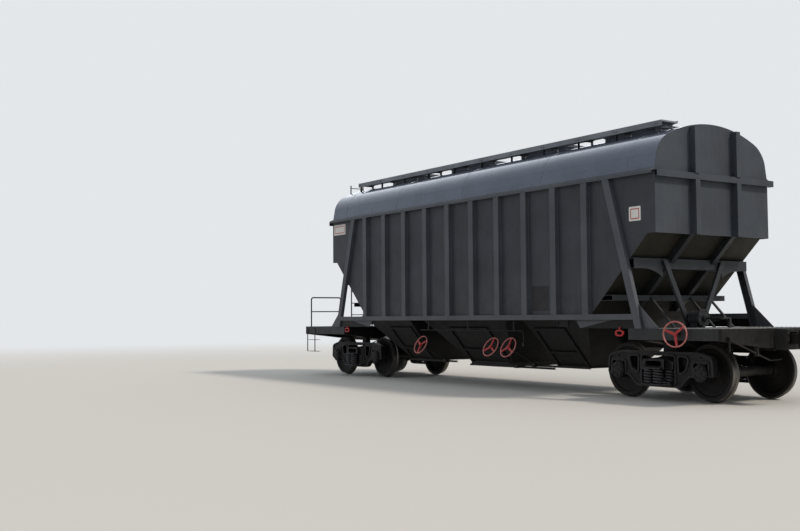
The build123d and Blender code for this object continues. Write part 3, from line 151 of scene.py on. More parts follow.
def times(tree, first, second):
    """The product of two numbers."""
    return number_math(tree, "MULTIPLY", first, second)


def vector_math(tree, operation, *vectors):
    """A sum with vectors. It gives a number for a length or a dot product."""
    node = add(tree, "ShaderNodeVectorMath", dict(enumerate(vectors)), operation=operation)
    return node.outputs["Value" if operation in ("LENGTH", "DOT_PRODUCT") else "Vector"]


def ramp(tree, value, low, high, to_low=0.0, to_high=1.0, **settings):
    """A value turned from one range to another, and held inside it."""
    ranges = {"Value": value, "From Min": low, "From Max": high, "To Min": to_low, "To Max": to_high}
    return add(tree, "ShaderNodeMapRange", ranges, **settings).outputs[0]


def blend(tree, share, first, second):
    """Mixes two colours by a share."""
    return add(tree, "ShaderNodeMix", {0: share, 6: first, 7: second}, data_type="RGBA").outputs[2]


def bump(tree, height, strength, depth_mm, normal=None):
    """The normal of a face with a pattern pressed into it."""
    inputs = {"Strength": strength, "Distance": depth_mm * MM, "Height": height}
    if normal is not None:
        inputs["Normal"] = normal
    return add(tree, "ShaderNodeBump", inputs).outputs[0]


# %% [markdown]
# ## Floor, sky and sun
# A pale studio floor keeps the wagon's shadow. Far from the wagon it glows in the colour of the
# background, so that no horizon cuts the picture. The world is a soft white dome, brighter overhead.
# Glossy paint mirrors a sky that is brighter behind the wagon, which draws the crest of its roof.
# One soft sun stands high behind the +X end. The near side is then lit by the dome alone, and the
# sun draws the tops of the deck, the bogie frames and the walkways, as in the photograph.

# %% Floor
FLOOR_RADIUS = 160.0
FLOOR_CORNERS = 64
FLOOR_FADE = (14.0, 46.0)
FLOOR_COLOUR = colour("b3b0aa")
FLOOR_ROUGHNESS = 0.9
BACKGROUND = colour("e4e7ea")

floor_mesh = bpy.data.meshes.new("floor")
ring = []
for corner in range(FLOOR_CORNERS):
    angle = 2 * pi * corner / FLOOR_CORNERS
    ring.append((FLOOR_RADIUS * cos(angle), FLOOR_RADIUS * sin(angle), 0))
floor_mesh.from_pydata(ring, [], [list(range(FLOOR_CORNERS))])
floor = bpy.data.objects.new("floor", floor_mesh)
bpy.context.scene.collection.objects.link(floor)
floor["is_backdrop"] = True

floor_finish, tree, shader = new_material("studio_floor")
shader.inputs["Base Color"].default_value = FLOOR_COLOUR
shader.inputs["Roughness"].default_value = FLOOR_ROUGHNESS
from_middle = vector_math(tree, "LENGTH", object_place(tree))
fade = ramp(tree, from_middle, *FLOOR_FADE, interpolation_type="SMOOTHSTEP")
glow = add(tree, "ShaderNodeEmission", {"Color": BACKGROUND, "Strength": 1.0})
mix = add(tree, "ShaderNodeMixShader", {0: fade, 1: shader.outputs[0], 2: glow.outputs[0]})
tree.links.new(mix.outputs[0], tree.nodes["Material Output"].inputs["Surface"])
floor_mesh.materials.append(floor_finish)
print("floor radius", FLOOR_RADIUS, "m")

# %% Sky dome and sun
SKY_LIGHT = 0.92
SKY_COLOUR = colour("f0f5fc")
HORIZON_SHARE = 0.72
OVERHEAD_SHARE = 1.12
OVERHEAD_FROM = 0.9
MIRRORED_COLOUR = colour("e6ecf5")
MIRRORED_LIGHT = (0.45, 1.7)
BRIGHT_TOWARDS = (-0.83, 0.55, 0.0)
BRIGHT_WITHIN = (0.5, 0.95)
SUN_STRENGTH = 2.6
SUN_FROM = Vector((0.72, 0.40, 0.80))
SUN_SOFTNESS = radians(8)
SUN_COLOUR = colour("fff6ea")

world = bpy.data.worlds.new("studio")
world.use_nodes = True
bpy.context.scene.world = world
tree = world.node_tree
direction = add(tree, "ShaderNodeTexCoord").outputs["Generated"]
dome = ramp(tree, separate(tree, direction)["Z"], 0.0, OVERHEAD_FROM, HORIZON_SHARE, OVERHEAD_SHARE)
towards = vector_math(tree, "DOT_PRODUCT", direction, BRIGHT_TOWARDS)
behind = ramp(tree, towards, *BRIGHT_WITHIN, *MIRRORED_LIGHT)
rays = add(tree, "ShaderNodeLightPath").outputs
seen = number_math(tree, "MAXIMUM", rays["Is Camera Ray"], rays["Is Transmission Ray"])
soft = add(tree, "ShaderNodeBackground", {"Color": SKY_COLOUR, "Strength": times(tree, dome, SKY_LIGHT)})
plain = add(tree, "ShaderNodeBackground", {"Color": BACKGROUND, "Strength": 1.0})
mirrored = add(tree, "ShaderNodeBackground", {"Color": MIRRORED_COLOUR, "Strength": behind})
glossy = add(tree, "ShaderNodeMixShader", {0: rays["Is Glossy Ray"], 1: soft.outputs[0],
                                           2: mirrored.outputs[0]})
shown = add(tree, "ShaderNodeMixShader", {0: seen, 1: glossy.outputs[0], 2: plain.outputs[0]})
tree.links.new(shown.outputs[0], tree.nodes["World Output"].inputs["Surface"])

sun = bpy.data.objects.new("sun", bpy.data.lights.new("sun", "SUN"))
sun.data.energy = SUN_STRENGTH
sun.data.angle = SUN_SOFTNESS
sun.data.color = SUN_COLOUR[:3]
sun.rotation_mode = "QUATERNION"
sun.rotation_quaternion = SUN_FROM.to_track_quat("Z", "Y")
bpy.context.scene.collection.objects.link(sun)
print("sun from", tuple(SUN_FROM))

# %% [markdown]
# ## Patterns at real sizes
# A noise node counts its features per metre, so a pattern's scale is worked out from the size of a
# real speck, wave or streak in millimetres. An edge that hands, boots and tools knock, and that is
# also given a painted highlight, is found by comparing the true face with a rounded one: they differ
# near an edge. Ambient occlusion tells an outer edge, which wears, from an inner corner, which holds
# dirt and painted shade.

# %% Pattern helpers
CHIP_MM = 38


def per_metre(size_mm):
    """The scale of a pattern whose features are this big."""
    return 1 / (size_mm * MM)


def pattern(tree, place, size_mm, detail=4, roughness=0.55, stretch=(1, 1, 1), seed=0):
    """A noise pattern on object coordinates, longer along an axis by its stretch."""
    mapped = add(tree, "ShaderNodeMapping", {"Vector": place, "Location": (seed, seed * 0.7, 0),
                                             "Scale": tuple(1 / s for s in stretch)})
    noise = add(tree, "ShaderNodeTexNoise", {"Vector": mapped.outputs[0], "Scale": per_metre(size_mm),
                                             "Detail": detail, "Roughness": roughness})
    return noise.outputs[0]


def openness(tree, reach_mm, own_piece=True):
    """1 on an open face, less in a corner, where dirt gathers and shade is painted."""
    return add(tree, "ShaderNodeAmbientOcclusion", {"Distance": reach_mm * MM}, samples=3,
               only_local=own_piece).outputs["AO"]


def rubbed_and_highlit_edges(tree, place, radius_mm, open_share):
    """The rounded normal of a piece, and a ragged share that is 1 on its outer edges."""
    rounded = add(tree, "ShaderNodeBevel", {"Radius": radius_mm * MM}, samples=4).outputs[0]
    true_face = add(tree, "ShaderNodeNewGeometry").outputs["True Normal"]
    same = vector_math(tree, "DOT_PRODUCT", rounded, true_face)
    bend = ramp(tree, same, 0.99, 0.86)
    outer = ramp(tree, open_share, 0.72, 0.92)
    ragged = ramp(tree, pattern(tree, place, CHIP_MM, 5, 0.7, seed=12.0), 0.3, 0.62, 0.25, 1.0)
    return rounded, times(tree, times(tree, bend, outer), ragged)


# %% [markdown]
# ## Painted sheet steel
# The body is covered in alkyd enamel, sprayed over welded sheets. Months in traffic leave it dull, a
# little wavy and dusty. These are layered on the plain colour: cloudy tone, rain streaks that run
# down the walls, dust that thickens towards the ground and on all that faces up, dirt together with
# painted shade in corners and under things, spots of rust, and edges that are lighter grey, partly
# rubbed and partly a painted highlight. The waves of the thin sheet and the fine orange peel of the
# spray are bump. The peel is drawn at 9 mm, coarser than the real 2 mm, to show.

# %% Weathered enamel
DUST = colour("6e675c")
RUST = colour("5a3220")
CORNER_DIRT_AND_SHADE = colour("151617")
REPAINTED = colour("161317")
REPAINTED_COVER = 0.8
MASK_BLUR = 4 * MM
CLOUD_MM = 700
STREAK_MM = 22
FLECK_MM = 90
RUST_SPOT_MM = 45
GLOSS_MM = 260
SHEET_WAVE_MM = 520
ROLLING_LINE_MM = 45
PEEL_MM = 9
PEEL_DEPTH_MM = 0.5
COAT_ROUGHNESS = 0.1


def enamel(name, base, light, roughness=0.42, dust_top=2.4, dust_share=0.55, streaks=0.15, waves_mm=2.5,
           edge_wear_and_highlight="5d6166", edge_share=0.5, edge_mm=6, rust_share=0.0, streak_axis="Z", coat=0.0,
           specular=0.32, patch=None, shade_and_dirt_reach_mm=0, corner_dirt_and_shade=0.8, peel_share=0.25):
    """Weathered enamel: base and light are its two tones, dust_top the height that road dust reaches."""
    material, tree, shader = new_material(name)
    place = object_place(tree)
    height = separate(tree, place)["Z"]
    upward = separate(tree, add(tree, "ShaderNodeNewGeometry").outputs["Normal"])["Z"]
    clouds = ramp(tree, pattern(tree, place, CLOUD_MM, 3), 0.35, 0.7)
    skin = blend(tree, clouds, colour(base), colour(light))
    long_axis = (1, 1, 40) if streak_axis == "Z" else (60, 1, 1)
    streak = ramp(tree, pattern(tree, place, STREAK_MM, 3, 0.6, long_axis, 3.1), 0.42, 0.72, 0, streaks)
    skin = blend(tree, streak, skin, blend(tree, 0.5, colour(light), DUST))
    if patch:
        skin = blend(tree, inside(tree, place, *patch), skin, REPAINTED)
    low = ramp(tree, height, 0.2, dust_top, 1, 0)
    settled = ramp(tree, upward, 0.35, 0.95, 0, 0.75)
    flecks = ramp(tree, pattern(tree, place, FLECK_MM, 6, 0.7, seed=5.3), 0.38, 0.72)
    lying = number_math(tree, "MAXIMUM", low, settled)
    dust = times(tree, times(tree, lying, flecks), dust_share)
    skin = blend(tree, dust, skin, DUST)
    open_share = openness(tree, 120)
    # Painted shade with dirt: darker in the corners that ambient occlusion finds.
    held_dirt_and_shade = times(tree, ramp(tree, open_share, 0.35, 0.9, 1, 0), corner_dirt_and_shade)
    skin = blend(tree, held_dirt_and_shade, skin, CORNER_DIRT_AND_SHADE)
    # Painted shade with dirt: darker under and between big parts, over a long reach.
    if shade_and_dirt_reach_mm:
        shelter_dirt_and_shade = ramp(tree, openness(tree, shade_and_dirt_reach_mm, False), 0.25, 0.9, 0.85, 0)
        skin = blend(tree, shelter_dirt_and_shade, skin, CORNER_DIRT_AND_SHADE)
    # Outer edges turn lighter: worn paint, and partly a painted highlight.
    rounded, edge = rubbed_and_highlit_edges(tree, place, edge_mm, open_share)
    skin = blend(tree, times(tree, edge, edge_share), skin, colour(edge_wear_and_highlight))
    if rust_share:
        spots = ramp(tree, pattern(tree, place, RUST_SPOT_MM, 8, 0.75, seed=8.8), 0.60, 0.72)
        skin = blend(tree, times(tree, spots, rust_share), skin, RUST)
    tree.links.new(skin, shader.inputs["Base Color"])
    cloudy = pattern(tree, place, GLOSS_MM, 5, seed=2.2)
    gloss = ramp(tree, cloudy, 0.3, 0.7, roughness - 0.06, roughness + 0.1)
    dull = number_math(tree, "ADD", gloss, times(tree, dust, 0.5))
    tree.links.new(dull, shader.inputs["Roughness"])
    shader.inputs["Specular IOR Level"].default_value = specular
    shader.inputs["Coat Weight"].default_value = coat
    shader.inputs["Coat Roughness"].default_value = COAT_ROUGHNESS
    if streak_axis == "Z":
        waves = pattern(tree, place, SHEET_WAVE_MM, 1, 0.4, (1, 1, 1.8), 1.4)
    else:
        waves = pattern(tree, place, ROLLING_LINE_MM, 2, 0.5, (80, 1, 1), 1.4)
    sheet = bump(tree, waves, 1.0, waves_mm, rounded)
    peel = pattern(tree, place, PEEL_MM, 2, 0.5, seed=6.0)
    tree.links.new(bump(tree, peel, peel_share, PEEL_DEPTH_MM, sheet), shader.inputs["Normal"])
    return material


def inside(tree, place, low, high):
    """1 between two corners, 0 outside them, with an edge as soft as a masked paint line."""
    centre = tuple((a + b) / 2 for a, b in zip(low, high))
    half = tuple((b - a) / 2 for a, b in zip(low, high))
    local = vector_math(tree, "SUBTRACT", place, centre)
    over = separate(tree, vector_math(tree, "SUBTRACT", vector_math(tree, "ABSOLUTE", local), half))
    furthest = number_math(tree, "MAXIMUM", number_math(tree, "MAXIMUM", over["X"], over["Z"]), over["Y"])
    return ramp(tree, furthest, MASK_BLUR, -MASK_BLUR, 0, REPAINTED_COVER)


# %% [markdown]
# ## The wagon's paints
# The walls are anthracite enamel with a dull gleam. The posts and the end walls take lighter copies
# of that enamel as painted light, and the posts' edges are rubbed; the struts take a darker copy with
# painted shade. The roof is grey with a blue tint that is a painted reflection of the sky. It is seen at
# a low angle, where its gloss picks up the sky, so it has a clear coat, a smoother skin and long
# streaks along it. The faces under the slopes are matt and brown: dust, with the olive of light bounced
# from the ground painted in, and painted shade under them. Everything below the floor is black, darker
# than black enamel as painted shade, with rust spots and grey edges that are partly worn and partly a
# painted highlight.

# %% Paints
REPAINTED_PATCH = ((2.24, -1.60, 1.57), (2.72, -1.40, 2.05))
anthracite = enamel("anthracite_alkyd_enamel", "2b2d33", "34373e", dust_share=0.3, streaks=0.12,
                    patch=REPAINTED_PATCH)
# A lighter copy of the wall enamel, as painted light on the proud posts.
post_paint_with_painted_light = enamel("post_alkyd_enamel", "3e4147", "484b51", streaks=0.1, waves_mm=0.6, dust_share=0.3,
                    edge_share=0.2)
# A lighter copy of the wall enamel, as painted light on the end walls.
end_paint_with_painted_light = enamel("end_wall_enamel", "30343a", "3a3f45", dust_top=3.0, dust_share=0.3, streaks=0.12)
# A darker copy of the wall enamel, with painted shade under the slopes.
strut_paint_with_painted_shade = enamel("strut_enamel", "26282c", "2e3135", streaks=0.05, waves_mm=0.6, dust_top=2.0,
                     dust_share=0.2, shade_and_dirt_reach_mm=500)
# Olive-brown: dust, with painted light bounced from the ground, and painted shade under the slope.
slope_paint_with_painted_bounce_and_shade = enamel("slope_sheet_enamel", "28271f", "343228", roughness=0.6, dust_top=3.2, dust_share=0.15,
                     specular=0.2, shade_and_dirt_reach_mm=1200)
# Grey enamel whose blue tint is a painted reflection of the sky.
roof_paint_with_painted_sky_tint = enamel("roof_blue_grey_enamel", "3f4a5a", "4a5668", roughness=0.3, streaks=0.35, waves_mm=0.8,
                    dust_share=0.15, streak_axis="X", coat=1.0, specular=0.5, edge_share=0.0, corner_dirt_and_shade=0.0,
                    peel_share=0.02)
hatch_paint = enamel("hatch_enamel", "3a4048", "464d57", streaks=0.1, waves_mm=0.6, dust_share=0.4)
# Black, darker than black enamel is, as painted shade under the body.
chassis_paint_with_painted_shade = enamel("chassis_black_enamel", "0b0b0c", "121213", roughness=0.45, dust_top=1.4,
                       dust_share=0.25, streaks=0.05, waves_mm=0.5, edge_wear_and_highlight="3c3d3f", rust_share=0.3,
                       specular=0.22)
platform_paint = enamel("platform_enamel", "1d1f21", "26282b", dust_top=1.5, dust_share=0.3, streaks=0.08,
                        waves_mm=0.8, edge_wear_and_highlight="777a7d", edge_share=0.6, rust_share=0.15, specular=0.28)
deck_paint = enamel("trodden_deck_paint", "4d4f50", "5c5c5a", roughness=0.55, dust_top=1.6, dust_share=0.7,
                    streaks=0.0, waves_mm=0.8, edge_wear_and_highlight="a2a4a4", edge_share=0.8, edge_mm=8,
                    rust_share=0.35)
# Black, darker than black enamel is, as painted shade under the body.
hopper_paint_with_painted_shade = enamel("hopper_enamel", "0b0b0c", "121213", roughness=0.45, dust_top=1.2, dust_share=0.2,
                      streaks=0.08, waves_mm=2.0, edge_wear_and_highlight="333334", rust_share=0.15, specular=0.25)
walkway_paint = enamel("walkway_matt_paint", "64696f", "767b83", roughness=0.55, streaks=0.1, waves_mm=0.4,
                       dust_share=0.5, edge_wear_and_highlight="8a8d90", rust_share=0.2)
ladder_paint = enamel("ladder_black_enamel", "151517", "1e1e20", streaks=0.05, waves_mm=0.3, dust_share=0.3,
                      edge_wear_and_highlight="55565a", rust_share=0.2, specular=0.28)
print("paints made:", len([m for m in bpy.data.materials if "enamel" in m.name or "paint" in m.name]))

# %% [markdown]
# ## Castings
# The bogie frames are poured in sand moulds, so their black paint lies over a grainy skin. Brown brake
# dust covers them, and the faces that look up are lighter: pale road dust, and a painted highlight
# that draws the frame's top edge. Darker hollows are dirt and painted shade. Their rounded edges are
# lighter grey, partly scraped and partly a painted highlight.

# %% Casting finish
BRAKE_DUST = colour("2a2320")
HOLLOW_DIRT_AND_SHADE = colour("0b0b0b")
MOULD_LUMP_MM = 40
MOULD_LUMP_DEPTH_MM = 2.5
GRAIN_DEPTH_MM = 0.8


def casting(name, base, grain_mm=3.0, dust_share=0.5, edge_wear_and_highlight="4d4c4c", edge_share=0.6, edge_mm=9,
            top_dust_and_highlight=0.5, specular=0.28):
    """Black paint on a sand casting, with brake dust, and edges lighter from scraping and from a painted
    highlight.
    """
    material, tree, shader = new_material(name)
    place = object_place(tree)
    upward = separate(tree, add(tree, "ShaderNodeNewGeometry").outputs["Normal"])["Z"]
    clouds = ramp(tree, pattern(tree, place, 240, 5, 0.65), 0.35, 0.68)
    settled = ramp(tree, upward, -0.2, 0.9, 0.25, 1.0)
    dust = times(tree, times(tree, clouds, settled), dust_share)
    skin = blend(tree, dust, colour(base), BRAKE_DUST)
    # Lighter on the faces that look up: road dust, and a painted highlight.
    lying = times(tree, ramp(tree, upward, 0.4, 0.95), ramp(tree, clouds, 0, 1, 0.5, 1.0))
    skin = blend(tree, times(tree, lying, top_dust_and_highlight), skin, DUST)
    open_share = openness(tree, 80)
    # Painted shade with dirt: darker in the hollows that ambient occlusion finds.
    skin = blend(tree, times(tree, ramp(tree, open_share, 0.3, 0.85, 1, 0), 0.6), skin, HOLLOW_DIRT_AND_SHADE)
    # Outer edges turn lighter: scraped, and partly a painted highlight.
    rounded, edge = rubbed_and_highlit_edges(tree, place, edge_mm, open_share)
    skin = blend(tree, times(tree, edge, edge_share), skin, colour(edge_wear_and_highlight))
    tree.links.new(skin, shader.inputs["Base Color"])
    tree.links.new(ramp(tree, clouds, 0, 1, 0.34, 0.55), shader.inputs["Roughness"])
    shader.inputs["Specular IOR Level"].default_value = specular
    sand = pattern(tree, place, grain_mm, 3, 0.6)
    coarse = pattern(tree, place, MOULD_LUMP_MM, 4, 0.5, seed=4.0)
    lumpy = bump(tree, coarse, 0.6, MOULD_LUMP_DEPTH_MM, rounded)
    tree.links.new(bump(tree, sand, 0.5, GRAIN_DEPTH_MM, lumpy), shader.inputs["Normal"])
    return material


cast_paint = casting("cast_steel_black_paint", "0e0e10", edge_wear_and_highlight="6c6c70", edge_share=0.85, edge_mm=20)
coupler_steel = casting("coupler_cast_steel", "161412", edge_wear_and_highlight="5c5650")
spring_paint = casting("spring_steel_black_paint", "3c3c40", grain_mm=2.0, dust_share=0.3, edge_share=0.0,
                       top_dust_and_highlight=0.6)
bolt_steel = casting("bolt_steel", "2a292a", grain_mm=2.0, dust_share=0.6, edge_mm=3)
print("castings:", [finish.name for finish in (cast_paint, coupler_steel, spring_paint, bolt_steel)])

# %% [markdown]
# ## Rolled wheels
# A wheel is rolled steel. Its tread and the side of its flange are rubbed bright by the rail, and the
# disc is brown-black. The bright band is found by its distance from the axle, so every wheelset has
# a copy of the finish, centred on its axle. Faint rings on the disc are left from turning it, the rim
# is a little paler, and the axle is glossier, its grimy steel painted lighter as a painted highlight.

# %% Wheel finish
FLANGE_HEIGHT = 28 * MM
RIM_DEPTH = 70 * MM
RIM_BLUR = 4 * MM
SHAFT_REACH = (90 * MM, 110 * MM)
TURNING_MARK_MM = 24
WAVES_PER_UNIT = 20


def rolled_wheel(name, axle, tread_radius):
    """Rolled wheel steel about an axle along Y: bright on the tread, brown-black elsewhere."""
    material, tree, shader = new_material(name)
    place = object_place(tree)
    to_axle = tuple(-c for c in axle)
    centred = add(tree, "ShaderNodeMapping", {"Vector": place, "Location": to_axle}).outputs[0]
    radius = vector_math(tree, "LENGTH", vector_math(tree, "MULTIPLY", centred, (1, 0, 1)))
    ragged = number_math(tree, "ADD", radius, times(tree, pattern(tree, place, 60, 4), 6 * MM))
    bright = ramp(tree, ragged, tread_radius - 4 * MM, tread_radius)
    grime = ramp(tree, pattern(tree, place, 130, 6, 0.7), 0.35, 0.65)
    turned = ramp(tree, radius, SHAFT_REACH[1], SHAFT_REACH[0])
    wave_scale = per_metre(TURNING_MARK_MM) / WAVES_PER_UNIT
    rings = add(tree, "ShaderNodeTexWave", {"Vector": centred, "Scale": wave_scale, "Distortion": 0.6,
                                            "Detail": 2.0}, wave_type="RINGS", rings_direction="Y").outputs[1]
    dirty = blend(tree, grime, colour("0c0c0d"), colour("181614"))
    dirty = blend(tree, times(tree, rings, 0.2), dirty, colour("2a2726"))
    rim = ramp(tree, radius, tread_radius - RIM_DEPTH - RIM_BLUR, tread_radius - RIM_DEPTH + RIM_BLUR)
    dirty = blend(tree, times(tree, rim, 0.7), dirty, colour("232120"))
    # The axle's lighter colour is a painted highlight.
    shaft_with_painted_highlight = blend(tree, grime, colour("1e1d1c"), colour("35322f"))
    lines = pattern(tree, place, 5, 2, 0.5, (120, 1, 120), 1.7)
    steel = blend(tree, ramp(tree, lines, 0.4, 0.65), colour("3c3936"), colour("85817b"))
    skin = blend(tree, bright, blend(tree, turned, dirty, shaft_with_painted_highlight), steel)
    tree.links.new(skin, shader.inputs["Base Color"])
    tree.links.new(times(tree, bright, 0.9), shader.inputs["Metallic"])
    shader.inputs["Specular IOR Level"].default_value = 0.25
    worn = number_math(tree, "SUBTRACT", ramp(tree, bright, 0, 1, 0.6, 0.34), times(tree, turned, 0.22))
    tree.links.new(worn, shader.inputs["Roughness"])
    grain = bump(tree, pattern(tree, place, 6, 3, 0.6), 0.35, 0.6)
    tree.links.new(grain, shader.inputs["Normal"])
    return material


wheel_finish = {}
for name in nodes:
    if name.endswith("wheelset"):
        low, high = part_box(name)
        axle = ((low.x + high.x) / 2, 0, (low.z + high.z) / 2)
        wheel_finish[name] = rolled_wheel(f"rolled_steel_{name}", axle, (high.z - low.z) / 2 - FLANGE_HEIGHT)
print("wheel finishes:", sorted(wheel_finish))

# %% [markdown]
# ## Handwheels
# Only the wheels themselves are red; their shafts, gear cases and plates are black like the frame.
# The red enamel is a paler pink on the rim, partly where hands rub it and partly as a painted
# highlight, and stays deep on the spokes. One finish finds its zones from places: how far a point is
# from the nearest wheel's centre, and how far it stands out along the wheel's own axis.

# %% Handwheel finish
RIM_FROM = 180 * MM
WHEEL_ZONE = 240 * MM


def handwheel_finish(name, centres, out, from_centre):
    """Red enamel on wheels at these centres, black behind the depth from_centre along the direction out."""
    material, tree, shader = new_material(name)
    place = object_place(tree)
    offsets = [vector_math(tree, "SUBTRACT", place, centre) for centre in centres]
    depth = vector_math(tree, "DOT_PRODUCT", offsets[0], out)
    nearest = vector_math(tree, "LENGTH", offsets[0])
    for offset in offsets[1:]:
        nearest = number_math(tree, "MINIMUM", nearest, vector_math(tree, "LENGTH", offset))
    wheel = times(tree, ramp(tree, depth, from_centre - MM, from_centre + MM),
                  ramp(tree, nearest, WHEEL_ZONE, WHEEL_ZONE - MM))
    rim = ramp(tree, nearest, RIM_FROM, RIM_FROM + 6 * MM)
    mottle = ramp(tree, pattern(tree, place, 60, 5, 0.65), 0.35, 0.68)
    spokes = blend(tree, mottle, colour("8a1c1e"), colour("a32a2a"))
    # The paler rim is partly worn by hands and partly a painted highlight.
    rim_wear_and_highlight = blend(tree, mottle, colour("8f4a45"), colour("a96a63"))
    red = blend(tree, rim, spokes, rim_wear_and_highlight)
    black = blend(tree, mottle, colour("0e0e10"), colour("161617"))
    skin = blend(tree, wheel, black, red)
    spots = ramp(tree, pattern(tree, place, 30, 8, 0.75, seed=8.8), 0.62, 0.72, 0, 0.5)
    tree.links.new(blend(tree, spots, skin, RUST), shader.inputs["Base Color"])
    tree.links.new(ramp(tree, mottle, 0, 1, 0.38, 0.52), shader.inputs["Roughness"])
    rounded = add(tree, "ShaderNodeBevel", {"Radius": 3 * MM}, samples=3).outputs[0]
    brushed = bump(tree, pattern(tree, place, 8, 3, 0.6), 0.3, 0.5, rounded)
    tree.links.new(brushed, shader.inputs["Normal"])
    return material


GATE_WHEEL_X = (-1.530, 0.950, 1.500)
GATE_WHEEL_Z = 0.860
GATE_SHAFT_OUT = (0, -0.88, 0.47)
GATE_BLACK_TO = -34 * MM
wall_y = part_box("right_side_wall")[0].y
gate_centres = [(x, wall_y, GATE_WHEEL_Z) for x in GATE_WHEEL_X]
gate_wheel_red = handwheel_finish("gate_handwheel_red_enamel", gate_centres, GATE_SHAFT_OUT, GATE_BLACK_TO)
PARKING_FOOT = Vector((5.875, -1.550, 1.163))
PARKING_TURN = radians(15)
PARKING_OUT = Vector((sin(PARKING_TURN), -cos(PARKING_TURN), 0))
PARKING_REACH = 105 * MM
PARKING_BLACK_TO = -30 * MM
parking_centre = PARKING_FOOT + PARKING_REACH * PARKING_OUT
parking_wheel_red = handwheel_finish("parking_handwheel_red_enamel", [tuple(parking_centre)],
                                     tuple(PARKING_OUT), PARKING_BLACK_TO)
handle_red = enamel("handle_red_enamel", "8f1d20", "a12729", roughness=0.4, dust_top=1.6, dust_share=0.15,
                    streaks=0.0, waves_mm=0.1, edge_wear_and_highlight="c86a62", rust_share=0.3)
print("handwheels at", [tuple(round(v, 2) for v in centre) for centre in gate_centres])

# %% [markdown]
# ## Finishes on the CAD pieces
# A CAD node whose shape is right keeps it, and only gets a better finish. The table goes from the
# start of a node's name to its material, and the longest name that fits wins. The side sills keep the
# body's grey on the rail under the posts, and their deep plates over the bogies are black. The roof
# walkways have pale boards on dark brackets.

# %% Assign the finishes
finish_by_name = {
    "right_side_wall": anthracite, "left_side_wall": anthracite,
    "right_side_posts": post_paint_with_painted_light, "left_side_posts": post_paint_with_painted_light, "side_sills": post_paint_with_painted_light,
    "top_chords": post_paint_with_painted_light, "slope_frames": strut_paint_with_painted_shade, "slope_struts": strut_paint_with_painted_shade,
    "front_end_wall": end_paint_with_painted_light, "rear_end_wall": end_paint_with_painted_light, "end_frames": end_paint_with_painted_light,
    "front_slope_sheet": slope_paint_with_painted_bounce_and_shade, "rear_slope_sheet": slope_paint_with_painted_bounce_and_shade,
    "right_roof_sheet": roof_paint_with_painted_sky_tint, "left_roof_sheet": roof_paint_with_painted_sky_tint, "roof_crest_panels": roof_paint_with_painted_sky_tint,
    "hatch_coamings": hatch_paint, "hatch_lid": hatch_paint,
    "roof_walkways": walkway_paint, "rear_ladder": ladder_paint, "platform_railing": ladder_paint,
    "platform_steps": ladder_paint, "platform_decks": deck_paint, "platform_beams": platform_paint,
    "end_beams": chassis_paint_with_painted_shade, "body_bolsters": chassis_paint_with_painted_shade, "centre_sill": chassis_paint_with_painted_shade,
    "front_hopper": hopper_paint_with_painted_shade, "middle_hopper": hopper_paint_with_painted_shade, "rear_hopper": hopper_paint_with_painted_shade,
    "cross_ridges": hopper_paint_with_painted_shade, "front_gate": hopper_paint_with_painted_shade, "middle_gate": hopper_paint_with_painted_shade,
    "rear_gate": hopper_paint_with_painted_shade, "air_reservoir": chassis_paint_with_painted_shade, "brake_cylinder": platform_paint,
    "air_pipe": chassis_paint_with_painted_shade, "couplers": coupler_steel, "uncoupling_levers": chassis_paint_with_painted_shade,
    "release_handles": handle_red, "gate_handwheels": gate_wheel_red,
    "parking_brake_wheel": parking_wheel_red, "front_bogie": cast_paint, "rear_bogie": cast_paint,
}
for name, node in nodes.items():
    starts = [start for start in finish_by_name if name.startswith(start)]
    finish = wheel_finish.get(name) or finish_by_name[max(starts, key=len)]
    node.data.materials.clear()
    node.data.materials.append(finish)


def darken_below(name, height, finish):
    """Gives a node's faces under a height their own finish."""
    mesh = nodes[name].data
    mesh.materials.append(finish)
    for face in mesh.polygons:
        if face.center.z < height:
            face.material_index = 1


DEEP_PLATE_TOP = 1.395
FASCIA_BOTTOM = 4.815
darken_below("side_sills", DEEP_PLATE_TOP, chassis_paint_with_painted_shade)
# The walkway brackets take the strut finish, with its painted shade.
darken_below("roof_walkways", FASCIA_BOTTOM, strut_paint_with_painted_shade)
print("finished", len(nodes), "nodes")

# %% [markdown]
# ## Growing repeated things with Geometry Nodes
# Springs, bolts, weld beads and the studs of a tread plate repeat many times. A carrier mesh holds one
# point for each of them, or a line for each bead, and a node tree puts the piece there. The tree ends
# by realizing the instances and setting the material. The result is then turned into a plain mesh,
# so that the finished piece needs no modifier.

# %% Carrier and harvest helpers
def new_tree(name, sizes):
    """A geometry tree with a named number input for each size: (tree, its inputs node, identifiers)."""
    tree = bpy.data.node_groups.new(name, "GeometryNodeTree")
    tree.interface.new_socket("Geometry", in_out="INPUT", socket_type="NodeSocketGeometry")
    tree.interface.new_socket("Geometry", in_out="OUTPUT", socket_type="NodeSocketGeometry")
    identifiers = {}
    for size in sizes:
        socket = tree.interface.new_socket(size, in_out="INPUT", socket_type="NodeSocketFloat")
        identifiers[size] = socket.identifier
    return tree, add(tree, "NodeGroupInput"), identifiers


def end_tree(tree, geometry, material):
    """Realizes the instances, sets the material and closes the tree."""
    real = add(tree, "GeometryNodeRealizeInstances", {"Geometry": geometry})
    coated = add(tree, "GeometryNodeSetMaterial", {"Geometry": real.outputs[0], "Material": material})
    add(tree, "NodeGroupOutput", {"Geometry": coated.outputs[0]})


